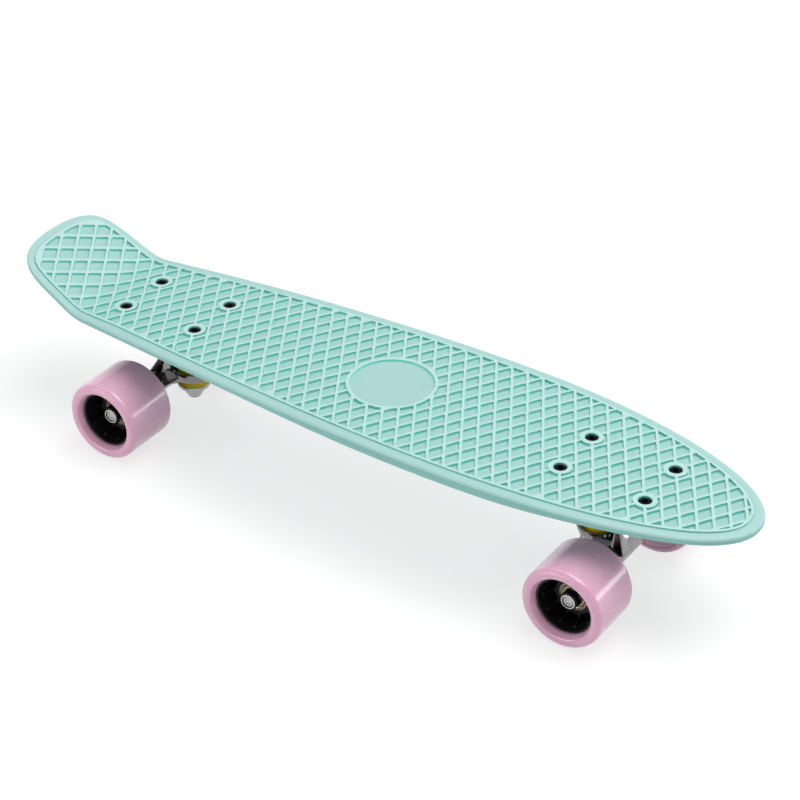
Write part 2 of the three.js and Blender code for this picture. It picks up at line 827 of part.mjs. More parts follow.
function tyre() {
  const rim = wheelRadius / Math.cos(flatPhase);
  const bore = coreRadius + gap;
  const near = wheelLip * (1 - Math.SQRT1_2);
  const faceRadius = wheelRadius * wheelFaceShare;
  return turnedAcross([
    [bore, innerFace + coreInnerSink],
    [faceRadius, innerFace],
    [rim - near, innerFace + near],
    [rim, innerFace + wheelLip],
    [rim, wheelOuterFace - wheelLip],
    [rim - near, wheelOuterFace - near],
    [faceRadius, wheelOuterFace],
    [bore, wheelOuterFace - coreSink],
    [bore, innerFace + coreInnerSink],
  ], wheelSteps, flatPhase);
}

function core() {
  const outer = wheelOuterFace - coreSink;
  const inner = innerFace + coreInnerSink;
  const seat = bearingRadius + gap;
  const boss = seat + coreBossWall;
  const shoulder = seat - bearingRace;
  const outerSeat = outerBearingFace - bearingWidth - gap;
  const innerSeat = innerBearingFace + bearingWidth + gap;
  const middle = (outer + inner) / 2;
  const shell = turnedAcross([
    [shoulder, innerSeat],
    [seat, innerSeat],
    [seat, innerBearingFace],
    [boss, innerBearingFace],
    [boss, middle - coreWebThickness / 2],
    [coreRadius - coreWall, middle - coreWebThickness / 2],
    [coreRadius - coreWall, inner],
    [coreRadius, inner],
    [coreRadius, outer],
    [coreRadius - coreWall / 2, outer],
    [boss, outerBearingFace],
    [seat, outerBearingFace],
    [seat, outerSeat],
    [shoulder, outerSeat],
    [shoulder, innerSeat],
  ], coreSteps);
  const ribs = [];
  for (let i = 0; i < coreSpokeCount; i += 1) {
    const length = coreRadius - coreWall / 2 - boss + coreBossWall / 2;
    const rib = new THREE.BoxGeometry(coreSpokeWidth, middle - innerBearingFace, length);
    rib.translate(0, (middle + innerBearingFace) / 2, boss - coreBossWall / 2 + length / 2);
    rib.rotateY((2 * Math.PI * (i + 1 / 2)) / coreSpokeCount);
    ribs.push(solid(rib));
  }
  return joined([shell, ...ribs]);
}

function bearing(face) {
  const bore = bearingBore + gap / 3;
  const low = face - bearingWidth;
  const shieldInner = bore + bearingRace;
  const shieldOuter = bearingRadius - bearingRace;
  return turnedAcross([
    [bore, low],
    [bearingRadius, low],
    [bearingRadius, face],
    [shieldOuter, face],
    [shieldOuter, face - bearingShieldSink],
    [shieldInner, face - bearingShieldSink],
    [shieldInner, face],
    [bore, face],
    [bore, low],
  ], bearingSteps);
}

function axleNut() {
  const low = outerBearingFace + gap;
  const washerTop = low + axleWasherThickness;
  const hexTop = washerTop + axleNutHeight;
  const washer = turnedAcross([
    [0, low], [axleWasherRadius, low], [axleWasherRadius, washerTop], [0, washerTop],
  ], smallSteps);
  const hexRadius = axleNutAcross / 2 / Math.cos(Math.PI / 6);
  const hex = turnedAcross([
    [0, washerTop - axleWasherThickness / 2],
    [hexRadius, washerTop - axleWasherThickness / 2],
    [hexRadius, hexTop],
    [0, hexTop],
  ], 6);
  const collar = turnedAcross([
    [0, hexTop - axleNutCollarHeight],
    [axleNutCollarRadius, hexTop - axleNutCollarHeight],
    [axleNutCollarRadius, hexTop + axleNutCollarHeight],
    [0, hexTop + axleNutCollarHeight],
  ], smallSteps);
  const bore = turnedAcross([
    [0, low - overrun],
    [axleRadius + gap, low - overrun],
    [axleRadius + gap, hexTop + overrun],
    [0, hexTop + overrun],
  ], smallSteps);
  return joined([washer, hex, collar]).subtract(bore);
}

// Assembly
function piece(name, geometry, material) {
  const mesh = new THREE.Mesh(geometry, material);
  mesh.name = name;
  return mesh;
}

function truck(end) {
  const group = new THREE.Group();
  const pieces = [
    ['baseplate', baseplate(), castMetal],
    ['pivot_cup', pivotCup(), yellowUrethane],
    ['kingpin', kingpin(), zincSteel],
    ['kingpin_nut', kingpinNut(), zincSteel],
    ['board_washer', cupWasher(boardWasherTop, -1), zincSteel],
    ['road_washer', cupWasher(roadWasherFoot, 1), zincSteel],
    ['board_bushing', bushing(ringTop + gap, boardBushingHeight), yellowUrethane],
    ['road_bushing', bushing(roadBushingFoot, roadBushingHeight), yellowUrethane],
    ['hanger', hanger(), castMetal],
    ['axle', axle(), zincSteel],
  ];
  for (const [name, body, material] of pieces) {
    group.add(piece(`${end}_${name}`, geometryOf(body), material));
  }
  const wheelPieces = [
    ['tyre', geometryOf(tyre()), pinkUrethane],
    ['core', geometryOf(core()), blackPlastic],
    ['outer_bearing', geometryOf(bearing(outerBearingFace)), zincSteel],
    ['inner_bearing', geometryOf(bearing(innerBearingFace + bearingWidth)), zincSteel],
    ['axle_nut', geometryOf(axleNut()), blackSteel],
  ];
  // Seen from the board's end, the truck's own left is the board's left only at the front
  const sides = end === 'front' ? ['left', 'right'] : ['right', 'left'];
  sides.forEach((side, turn) => {
    const wheel = new THREE.Group();
    wheel.position.set(axleOffset, 0, wheelRadius);
    wheel.rotation.z = turn * halfTurn;
    for (const [name, geometry, material] of wheelPieces) {
      wheel.add(piece(`${end}_${side}_${name}`, geometry, material));
    }
    group.add(wheel);
  });
  return group;
}

const board = new THREE.Group();
board.add(piece('deck', geometryOf(deckSolid()), mintPlastic));
const boltGeometry = geometryOf(deckBolt());
const nutGeometry = geometryOf(deckNut());
boltPlaces().forEach(([x, y], i) => {
  const bolt = piece(`deck_bolt_${i + 1}`, boltGeometry, blackSteel);
  const nut = piece(`deck_nut_${i + 1}`, nutGeometry, blackSteel);
  bolt.position.set(x, y, boltSeat(x));
  nut.position.set(x, y, 0);
  board.add(bolt, nut);
});
const frontTruck = truck('front');
frontTruck.position.x = truckPlace;
const rearTruck = truck('rear');
rearTruck.position.x = -truckPlace;
rearTruck.rotation.z = halfTurn;
board.add(frontTruck, rearTruck);

// The origin is on the floor, under the middle of the board's length
board.position.x = (creasePlace + tailReach - noseReach) / 2;
const skateboard = new THREE.Group();
skateboard.add(board);

export default skateboard;
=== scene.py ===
"""Looks of a small plastic cruiser skateboard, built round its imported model.

Pieces are shaped in millimetres about their own centre lines, then settled in metres in the model's frame:
+X to the nose, +Y to the left side, +Z up, the floor at z = 0.
"""

import math

import bmesh
import bpy
from mathutils import Matrix, Vector


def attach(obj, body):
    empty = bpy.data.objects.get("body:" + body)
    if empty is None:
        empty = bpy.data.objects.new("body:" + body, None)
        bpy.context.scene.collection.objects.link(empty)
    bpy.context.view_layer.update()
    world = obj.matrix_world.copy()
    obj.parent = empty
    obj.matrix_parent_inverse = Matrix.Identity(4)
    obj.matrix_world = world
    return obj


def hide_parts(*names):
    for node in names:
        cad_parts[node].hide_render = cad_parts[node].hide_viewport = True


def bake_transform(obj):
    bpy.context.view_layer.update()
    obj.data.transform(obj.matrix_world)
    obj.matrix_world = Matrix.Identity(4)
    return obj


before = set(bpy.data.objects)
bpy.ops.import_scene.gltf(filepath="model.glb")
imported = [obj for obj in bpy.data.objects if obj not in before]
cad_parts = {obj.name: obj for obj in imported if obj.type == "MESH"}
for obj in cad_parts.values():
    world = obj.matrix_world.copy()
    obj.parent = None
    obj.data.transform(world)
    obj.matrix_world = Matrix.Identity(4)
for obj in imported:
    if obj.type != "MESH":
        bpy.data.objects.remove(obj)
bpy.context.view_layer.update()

MM = 0.001
FULL_TURN = 2 * math.pi

# Deck outline, in millimetres, measured along X from the middle between the trucks. The frame's origin
# lies under the whole board's middle, a little behind that.
SHIFT = 6.4
NOSE_REACH = 288.3
WIDEST_PLACE = 60.0
HALF_WIDTH = 73.0
CREASE_PLACE = 242.0
CREASE_HALF_WIDTH = 49.7
TAIL_REACH = 60.3
TAIL_TAPER = 4.4
NOSE_FULLNESS = 2.15
SIDE_CURVE = 1.8
SIDE_EASE = 1.06
TAIL_LENGTH_FULLNESS = 7
TAIL_WIDTH_FULLNESS = 2.37

# Deck side line: rib tops over the middle, their fall towards the ends, and the kicktail
DECK_HEIGHT = 91.95
CAMBER_DROP = 1.45
CAMBER_POWER = 2.8
TAIL_SLOPE = math.tan(math.radians(26.75))
BEND_LENGTH = 18.0
BEND_CUTS = 7
LEVEL_CUTS = 12
LEVEL_CUT_STEP = 40

# Deck rim and skirt, with depths below the rib tops
RIM_STEP = 1.0
RIM_WIDTH = 7.8
RIM_WIDTH_TAIL = 6.2
RIM_NARROW_START = 200.0
GROOVE_DEPTH = 1.5
GROOVE_WIDTH = 1.6
BORDER_WIDTH = 1.8
SKIRT_WALL = 5.2
SKIRT_DEPTH_ENDS = 6.1
SKIRT_DEPTH_MIDDLE = 8.9
SKIRT_REAR_START = -130.0
SKIRT_REAR_END = 40.0
SKIRT_FRONT_START = 120.0
SKIRT_FRONT_END = 220.0
PLATE_FOOT = 5.4

# Deck edges' bevels
WIDEST_BEVEL = 4.0
NOSE_BEVEL = 3.8
TAIL_BEVEL = 2.4
FOOT_BEVEL = 2.4
RIM_STEP_BEVEL = 0.8
TRAY_BEVEL = 0.5
BORDER_BEVEL = 0.45
GROOVE_BEVEL = 0.4
BEVEL_TURN_START = -200.0
BEVEL_TURN_LENGTH = 280.0

# Waffle and medallion. A rib's half width is given at each depth, from above its top down to its foot.
WAFFLE_DEPTH = 2.0
RIB_STEP_X = 12.71
RIB_STEP_Y = 21.33
RIB_PHASE = -0.38
RIB_SECTION = [(1.0, 0.84), (0.0, 0.84), (-0.12, 0.94), (-0.35, 1.0), (-1.7, 1.08), (-1.92, 1.22),
               (-WAFFLE_DEPTH, 1.5)]
POCKET_CORNER = 0.9
POCKET_ROWS = 7
LEAST_OPENING = 9.0
MEDALLION_PLACE = 5.0
MEDALLION_RADIUS = 32.2
MEDALLION_FIELD = 30.3
MEDALLION_DEPTH = 1.9

# Deck bolts, with the recesses and bosses round them
TRUCK_PLACE = 184.2
BOLT_LENGTH = 63.5
BOLT_WIDTH = 41.3
BOLT_RADIUS = 2.4
BOLT_HOLE = 2.7
BOLT_REACH = 23.3
BOLT_HEAD = 4.4
BOLT_HEAD_HEIGHT = 3.0
BOLT_SINK = 1.1
RECESS_RADIUS = 4.75
RECESS_MOUTH = 5.4
RECESS_DEPTH = 4.15
BOSS_RADIUS = 8.1

# Truck pads and ribs under the deck, with heights above the floor
PAD_FOOT = 79.5
PAD_TOP = 87.0
PAD_LENGTH = 86
PAD_WIDTH = 62
PAD_CORNER = 9
UNDER_RIB_FOOT = 84.4
UNDER_RIB_TOP = 87.5
UNDER_RIB_WIDTH = 3
UNDER_RIB_REACH = 138
UNDER_RIB_OFFSET = 24
CROSS_RIB_LENGTH = 97.6
CROSS_RIB_COUNT = 5
CROSS_RIB_SPREAD_SHARE = 0.8

# Trucks, in millimetres, measured along X from the bolt pattern's middle towards the nearer end
AXLE_OUT = 7.8
AXLE_HEIGHT = 30.0
AXLE_RADIUS = 3.97
AXLE_BORE = 4.25
AXLE_HALF = 73.0
AXLE_COLLAR = 41.5
AXLE_COLLAR_RADIUS = 6.0
AXLE_COLLAR_WIDTH = 0.8
AXLE_THREAD_START = 62.4
AXLE_THREAD_PITCH = 1.3

# Steering line: from the middle of the hanger's ring to the pivot
KINGPIN_IN = -11.2
STEER = math.radians(37.5)
RING_FOOT = 33.8
RING_TOP = 39.8
RING_MIDDLE = (RING_FOOT + RING_TOP) / 2
RING_BORE = 6.8
PIVOT_REACH = 40.3
PIVOT_X = KINGPIN_IN + PIVOT_REACH * math.cos(STEER)
PIVOT_Z = RING_MIDDLE + PIVOT_REACH * math.sin(STEER)
PIVOT_RADIUS = 6.4
PIVOT_STUB = 15.0

# Hanger: its axle bar and the web up to the ring. The bar's section is given about the axle line.
BAR_START = 20.0
BAR_END = 41.2
BAR_END_RADIUS = 6.9
BAR_SECTION = [(5.8, -5.8), (6.8, 5.2), (3.2, 7.4), (-3.6, 7.4), (-6.8, 5.2), (-6.8, -2.6), (-3.2, -7.4),
               (2.6, -7.4)]
WEB_HALF_WIDTH = 20.4
RIDGE_HALF_WIDTH = 12.5
ARM_HALF_WIDTH = 18.0
ARM_ROOT_RADIUS = 9.7
LIP_TOP = 42.2

# Kingpin and what it clamps, with heights above the floor
KINGPIN_RADIUS = 4.76
KINGPIN_THREAD = 4.2
KINGPIN_FOOT = 16.0
KINGPIN_PITCH = 1.25
KINGPIN_TURNS = 7
KINGPIN_HEAD_FOOT = 72.5
KINGPIN_HEAD_TOP = 78.9
KINGPIN_ACROSS = 14.3
KINGPIN_NUT_FOOT = 17.2
KINGPIN_NUT_TOP = 23.5
ROAD_WASHER = 23.8
BOARD_WASHER = 53.3
WASHER_BORE = 5.06
ROAD_BUSHING = 26.3
ROAD_BUSHING_HEIGHT = 7.2
BOARD_BUSHING = 40.1
BOARD_BUSHING_HEIGHT = 10.7
BUSHING_RADIUS = 11.9
BUSHING_SEAT = 10.9
BUSHING_BORE = 5.1

# Baseplate and pivot cup, the cup along the steering line from the pivot
PLATE_LOW = 73.7
PLATE_HIGH = 79.2
PLATE_LENGTH = 79
PLATE_WIDTH = 55
PLATE_CORNER = 7
PLATE_BOSS_FOOT = 53.6
HOUSING_RADIUS = 12.4
HOUSING_MOUTH = -4.5
CUP_RADIUS = 9.3
CUP_BORE = 6.7
CUP_DEPTH = 9.0

# Wheels, each made about its own axle line with its outer face towards +Y
WHEEL_RADIUS = AXLE_HEIGHT
WHEEL_OUT = 83.9
WHEEL_IN = 38.9
WHEEL_LIP = 4.3
WHEEL_LIP_IN = 4.0
CORE_RADIUS = 20.0
CORE_IN = 41.6
CORE_OUT = 78.3
CORE_RIB_COUNT = 10
CORE_RIB_HALF = 0.75
BEARING_RADIUS = 11.0
BEARING_WIDTH = 7.0
BEARING_OUTER_FACE = 66.6
BEARING_INNER_FACE = 42.6
NUT_LOW = 66.9
NUT_HIGH = 72.3
NUT_ACROSS = 12.7
NUT_RING_TOP = 73.6

# Deck nuts
DECK_NUT_FOOT = 69.3
DECK_NUT_TOP = 73.4
DECK_NUT_ACROSS = 8.7
DECK_NUT_ROUND = 5.05


# Ways of working


def take(*pieces):
    if bpy.context.object and bpy.context.object.mode != "OBJECT":
        bpy.ops.object.mode_set(mode="OBJECT")
    bpy.ops.object.select_all(action="DESELECT")
    for piece in pieces:
        piece.select_set(True)
    if pieces:
        bpy.context.view_layer.objects.active = pieces[0]


def edit(piece):
    take(piece)
    bpy.ops.object.mode_set(mode="EDIT")


def leave():
    bpy.ops.object.mode_set(mode="OBJECT")


def select_all():
    bpy.ops.mesh.select_all(action="SELECT")


def extrude(step):
    bpy.ops.mesh.extrude_region_move(TRANSFORM_OT_translate={"value": step})


def pick_faces(piece, test):
    """In edit mode, selects the faces that pass the test."""
    bpy.ops.mesh.select_mode(type="FACE")
    bpy.ops.mesh.select_all(action="DESELECT")
    cage = bmesh.from_edit_mesh(piece.data)
    for face in cage.faces:
        if test(face):
            face.select_set(True)
    cage.select_flush_mode()
    bmesh.update_edit_mesh(piece.data)


def polygon(name, points, fill_type="NGON"):
    """Starts a piece from one closed outline, and leaves it in edit mode with all of it selected."""
    take()
    bpy.ops.mesh.primitive_circle_add(vertices=len(points), radius=1, fill_type=fill_type)
    piece = bpy.context.object
    piece.name = name
    for vertex, point in zip(piece.data.vertices, points):
        vertex.co = point
    edit(piece)
    select_all()
    return piece


def modify(piece, kind, **settings):
    take(piece)
    step = piece.modifiers.new(kind.title(), kind)
    for name, value in settings.items():
        setattr(step, name, value)
    bpy.ops.object.modifier_apply(modifier=step.name)


def combine(piece, tool, how):
    modify(piece, "BOOLEAN", object=tool, operation=how, solver="MANIFOLD")
    bpy.data.objects.remove(tool)
    return piece


def cut(piece, *tools):
    for tool in tools:
        combine(piece, tool, "DIFFERENCE")
    return piece


def weld(piece, *tools):
    for tool in tools:
        combine(piece, tool, "UNION")
    return piece


def copied(piece, name):
    take(piece)
    bpy.ops.object.duplicate(linked=False)
    twin = bpy.context.object
    twin.name = name
    return twin


def joined(name, pieces):
    take(*pieces)
    if len(pieces) > 1:
        bpy.ops.object.join()
    whole = bpy.context.object
    whole.name = name
    return whole


def turn_piece(piece, matrix):
    take(piece)
    piece.matrix_world = matrix @ piece.matrix_world
    bpy.ops.object.transform_apply(location=True, rotation=True, scale=True)
    return piece


def moved(piece, x=0, y=0, z=0):
    return turn_piece(piece, Matrix.Translation((x, y, z)))


def settle(piece, place):
    """Takes a piece from millimetres to its place in metres and leaves its object at the origin."""
    return turn_piece(piece, Matrix.Scale(MM, 4) @ place)


def soften(piece, width, angle=35, segments=2):
    modify(piece, "BEVEL", width=width, segments=segments, limit_method="ANGLE",
           angle_limit=math.radians(angle), use_clamp_overlap=True)
    return piece


def shade(piece, angle):
    take(piece)
    bpy.ops.object.shade_smooth_by_angle(angle=math.radians(angle))
    modify(piece, "WEIGHTED_NORMAL", keep_sharp=True, weight=60)
    return piece


def outward(piece):
    edit(piece)
    select_all()
    bpy.ops.mesh.remove_doubles(threshold=1e-4)
    bpy.ops.mesh.normals_make_consistent(inside=False)
    leave()
    return piece


def turned(name, profile, steps=64):
    """A profile of (radius, distance along Y) turned about Y. Its ends lie on the axis, or it closes."""
    take()
    bpy.ops.mesh.primitive_plane_add(size=1)
    piece = bpy.context.object
    piece.name = name
    edit(piece)
    bpy.ops.mesh.select_mode(type="VERT")
    select_all()
    bpy.ops.mesh.merge(type="CENTER")
    bpy.ops.transform.translate(value=(profile[0][0], profile[0][1], 0))
    for before, after in zip(profile, profile[1:]):
        extrude((after[0] - before[0], after[1] - before[1], 0))
    select_all()
    bpy.ops.mesh.spin(steps=steps, angle=FULL_TURN, center=(0, 0, 0), axis=(0, 1, 0))
    leave()
    return outward(piece)


def rod(name, radius, low, high, steps=48):
    return turned(name, [(0, low), (radius, low), (radius, high), (0, high)], steps)


def upright(piece, x=0.0, y=0.0):
    """Stands a piece turned about Y up along Z, and moves it."""
    return turn_piece(piece, Matrix.Translation((x, y, 0)) @ Matrix.Rotation(math.pi / 2, 4, "X"))


def hexagon(name, across, low, high):
    """A hexagonal bar along Z."""
    take()
    bpy.ops.mesh.primitive_cylinder_add(vertices=6, radius=across / 2 / math.cos(math.pi / 6),
                                        depth=high - low, location=(0, 0, (low + high) / 2))
    piece = bpy.context.object
    piece.name = name
    return turn_piece(piece, Matrix.Identity(4))


def slab(name, points, low, high):
    """A plan outline filled and raised from one height to another."""
    piece = polygon(name, [(x, y, low) for x, y in points])
    extrude((0, 0, high - low))
    leave()
    return outward(piece)


def rounded_box(length, width, corner, steps=6):
    points = []
    for quadrant, (sx, sy) in enumerate([(1, 1), (-1, 1), (-1, -1), (1, -1)]):
        for step in range(steps + 1):
            turn = math.pi / 2 * (quadrant + step / steps)
            points.append((sx * (length / 2 - corner) + corner * math.cos(turn),
                           sy * (width / 2 - corner) + corner * math.sin(turn)))
    return points


# Materials


def material(name, colour, roughness, metallic=0.0, **more):
    """A principled material. Its uniform values are set straight on the shader."""
    made = bpy.data.materials.new(name)
    made.use_nodes = True
    shader = made.node_tree.nodes["Principled BSDF"]
    shader.inputs["Base Color"].default_value = (*colour, 1)
    shader.inputs["Roughness"].default_value = roughness
    shader.inputs["Metallic"].default_value = metallic
    for socket, value in more.items():
        shader.inputs[socket.replace("_", " ")].default_value = value
    return made


def node(made, kind, **settings):
    added = made.node_tree.nodes.new("ShaderNode" + kind)
    for name, value in settings.items():
        if name in added.inputs:
            added.inputs[name].default_value = value
        else:
            setattr(added, name, value)
    return added


def link(made, source, target):
    made.node_tree.links.new(source, target)


def shader_of(made):
    return made.node_tree.nodes["Principled BSDF"]


def paint(made, source):
    link(made, source, shader_of(made).inputs["Base Color"])


def mottle(made, source, darker, paler):
    """Lets the colour wander between two shades."""
    paint(made, ramp(made, source, [(0.3, darker), (0.7, paler)]))


def object_noise(made, scale, detail=3.0, stretch=(1, 1, 1)):
    place = node(made, "TexCoord")
    sized = node(made, "Mapping")
    sized.inputs["Scale"].default_value = stretch
    noise = node(made, "TexNoise", Scale=scale, Detail=detail)
    link(made, place.outputs["Object"], sized.inputs["Vector"])
    link(made, sized.outputs["Vector"], noise.inputs["Vector"])
    return noise.outputs["Fac"]


def ramp(made, source, stops):
    added = node(made, "ValToRGB")
    link(made, source, added.inputs["Fac"])
    elements = added.color_ramp.elements
    elements[0].position, elements[-1].position = stops[0][0], stops[-1][0]
    for place, _ in stops[1:-1]:
        elements.new(place)
    for element, (_, colour) in zip(elements, stops):
        element.color = (*colour, 1)
    return added.outputs["Color"]


def vary_roughness(made, source, low, high):
    spread = node(made, "MapRange")
    spread.inputs["To Min"].default_value = low
    spread.inputs["To Max"].default_value = high
    link(made, source, spread.inputs["Value"])
    link(made, spread.outputs["Result"], shader_of(made).inputs["Roughness"])


def bump(made, source, strength, distance):
    added = node(made, "Bump", Strength=strength, Distance=distance)
    link(made, source, added.inputs["Height"])
    link(made, added.outputs["Normal"], shader_of(made).inputs["Normal"])


def mint_plastic():
    """The deck's plastic, with painted shade by depth: pale on its tops, deeper in the pockets and deepest
    on their walls, and darker on the skirt and underside.
    """
    made = material("mint_plastic", (0.4, 0.7, 0.66), 0.42, Specular_IOR_Level=0.4, Subsurface_Weight=0.3,
                    Subsurface_Scale=0.003, Subsurface_Radius=(0.5, 1.0, 0.9))
    depth = node(made, "Attribute", attribute_name="painted_shade_depth")
    # Painted shade: the pocket walls darkest and most saturated, the pocket floors and the skirt darker than
    # the tops. The rim and the medallion are a little darker than the tops too.
    top, wall, bottom = (0.5, 0.74, 0.71), (0.23, 0.7, 0.63), (0.38, 0.64, 0.61)
    skirt, rim, medallion = (0.27, 0.58, 0.54), (0.41, 0.655, 0.63), (0.395, 0.64, 0.615)
    paint(made, ramp(made, depth.outputs["Fac"], [
        (0.03, top), (0.13, wall), (0.68, wall), (0.78, bottom), (0.81, bottom), (0.84, skirt), (0.89, rim),
        (0.91, rim), (1.0, medallion)]))
    grain = object_noise(made, 900, 4)
    vary_roughness(made, grain, 0.36, 0.5)
    bump(made, grain, 0.25, 0.0002)
    return made


def pink_urethane():
    made = material("pink_urethane", (0.78, 0.44, 0.6), 0.18, Specular_IOR_Level=0.5,
                    Subsurface_Weight=0.25, Subsurface_Scale=0.004, Subsurface_Radius=(1.0, 0.5, 0.6),
                    Coat_Weight=0.3, Coat_Roughness=0.08)
    haze = object_noise(made, 260, 3)
    mottle(made, haze, (0.76, 0.425, 0.58), (0.8, 0.455, 0.61))
    vary_roughness(made, object_noise(made, 1400, 2), 0.14, 0.26)
    return made


def black_plastic():
    made = material("black_plastic", (0.006, 0.006, 0.007), 0.3, Specular_IOR_Level=0.25)
    grain = object_noise(made, 1600, 3)
    vary_roughness(made, grain, 0.24, 0.42)
    bump(made, grain, 0.12, 0.0001)
    return made


def yellow_urethane():
    made = material("yellow_urethane", (0.74, 0.56, 0.002), 0.4, Subsurface_Weight=0.2,
                    Subsurface_Scale=0.003, Specular_IOR_Level=0.25)
    haze = object_noise(made, 500, 3)
    mottle(made, haze, (0.7, 0.53, 0.002), (0.78, 0.6, 0.004))
    vary_roughness(made, haze, 0.28, 0.42)
    return made


def polished_casting():
    made = material("polished_casting", (0.25, 0.245, 0.25), 0.1, 1.0)
    wave = object_noise(made, 130, 2)
    mottle(made, wave, (0.21, 0.205, 0.21), (0.29, 0.285, 0.29))
    vary_roughness(made, object_noise(made, 700, 4), 0.08, 0.2)
    bump(made, wave, 0.25, 0.0004)
    return made


def plated_steel(name, colour, low, high):
    made = material(name, colour, low, 1.0)
    grain = object_noise(made, 900, 4, (1, 1, 4))
    mottle(made, grain, [value * 0.86 for value in colour], [value * 1.1 for value in colour])
    vary_roughness(made, grain, low, high)
    bump(made, grain, 0.1, 0.0001)
    return made


def two_tone_steel(name, tag, plain, tagged):
    """Steel whose tagged faces have a second colour, as a shield or a plated ring has."""
    made = material(name, plain, 0.22, 1.0)
    mark = node(made, "Attribute", attribute_name=tag)
    grain = object_noise(made, 900, 4)
    tone = ramp(made, mark.outputs["Fac"], [(0.4, plain), (0.6, tagged)])
    mixed = node(made, "MixRGB", blend_type="MULTIPLY", Fac=1.0)
    link(made, tone, mixed.inputs["Color1"])
    link(made, ramp(made, grain, [(0.3, (0.86, 0.86, 0.86)), (0.7, (1, 1, 1))]), mixed.inputs["Color2"])
    paint(made, mixed.outputs["Color"])
    vary_roughness(made, grain, 0.16, 0.32)
    return made


MINT = mint_plastic()
PINK = pink_urethane()
BLACK_PLASTIC = black_plastic()
YELLOW = yellow_urethane()
CASTING = polished_casting()
ZINC = plated_steel("zinc_steel", (0.42, 0.415, 0.42), 0.2, 0.36)
AXLE_STEEL = plated_steel("axle_steel", (0.46, 0.45, 0.45), 0.28, 0.45)
BLACK_STEEL = plated_steel("black_steel", (0.02, 0.02, 0.022), 0.22, 0.38)
BEARING_STEEL = two_tone_steel("bearing_steel", "brass", (0.2, 0.18, 0.15), (0.34, 0.28, 0.17))
NUT_STEEL = two_tone_steel("nut_steel", "pale", (0.018, 0.018, 0.02), (0.5, 0.5, 0.5))


def finish_piece(piece, material_made, body, slot, *nodes):
    piece.data.materials.clear()
    piece.data.materials.append(material_made)
    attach(piece, body)
    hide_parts(*nodes)
    return piece


# Deck


def fall(x):
    return CAMBER_DROP * (abs(x) / TRUCK_PLACE) ** CAMBER_POWER


def side_height(x):
    """Height of the rib tops: level in the middle, falling towards both ends, bent up into the kicktail."""
    bend_start = BEND_LENGTH / 2 - CREASE_PLACE
    if x >= bend_start:
        return DECK_HEIGHT - fall(x)
    back = bend_start - x
    start_slope = CAMBER_POWER * fall(bend_start) / bend_start
    bent = min(back, BEND_LENGTH)
    gained = bent * bent / (2 * BEND_LENGTH) + (back - bent)
    return DECK_HEIGHT - fall(bend_start) + start_slope * back + (TAIL_SLOPE - start_slope) * gained


def smooth_share(x, start, end):
    share = min(max((x - start) / (end - start), 0), 1)
    return share * share * (3 - 2 * share)


def skirt_depth(x):
    middle_share = (smooth_share(x, SKIRT_REAR_START, SKIRT_REAR_END)
                    - smooth_share(x, SKIRT_FRONT_START, SKIRT_FRONT_END))
    return SKIRT_DEPTH_ENDS + (SKIRT_DEPTH_MIDDLE - SKIRT_DEPTH_ENDS) * middle_share


def rim_extra(x):
    """How much wider the rim is than at the tail."""
    return (RIM_WIDTH - RIM_WIDTH_TAIL) * smooth_share(x, -CREASE_PLACE, -RIM_NARROW_START)


def deck_outline(nose_steps=30, side_steps=16, tail_steps=24):
    half = []
    for step in range(nose_steps + 1):
        turn = math.pi / 2 * (1 - step / nose_steps)
        along = math.sin(turn) ** (2 / NOSE_FULLNESS)
        across = max(math.cos(turn), 0) ** (2 / NOSE_FULLNESS) if step else 0
        half.append((WIDEST_PLACE + (NOSE_REACH - WIDEST_PLACE) * along, HALF_WIDTH * across))
    length = WIDEST_PLACE + CREASE_PLACE
    for step in range(1, side_steps + 1):
        share = step / side_steps
        widening = (HALF_WIDTH - CREASE_HALF_WIDTH) * (1 - share ** SIDE_CURVE) ** SIDE_EASE
        half.append((WIDEST_PLACE - length * share, CREASE_HALF_WIDTH + widening))
    for step in range(1, tail_steps + 1):
        turn = math.pi / 2 * step / tail_steps
        along = math.sin(turn) ** (2 / TAIL_LENGTH_FULLNESS)
        across = math.cos(turn) ** (2 / TAIL_WIDTH_FULLNESS) if step < tail_steps else 0
        half.append((-CREASE_PLACE - TAIL_REACH * along,
                     (CREASE_HALF_WIDTH - TAIL_TAPER * along) * across))
    return half + [(x, -y) for x, y in reversed(half[1:-1])]


def edge_weights(piece, weight_of):
    """Sets how much of the bevel's width each edge gets."""
    attribute = piece.data.attributes.new("bevel_weight_edge", "FLOAT", "EDGE")
    for edge in piece.data.edges:
        first, second = (piece.data.vertices[i].co for i in edge.vertices)
        attribute.data[edge.index].value = weight_of(first, second)


def draw_in(vertex, points):
    """Moves a vertex of the tail's narrower rim on, away from the nearest point of the outline."""
    place = vertex.co.xy
    away = place - min((Vector(point) for point in points), key=lambda point: (point - place).length)
    vertex.co.xy = place + away.normalized() * rim_extra(place.x)


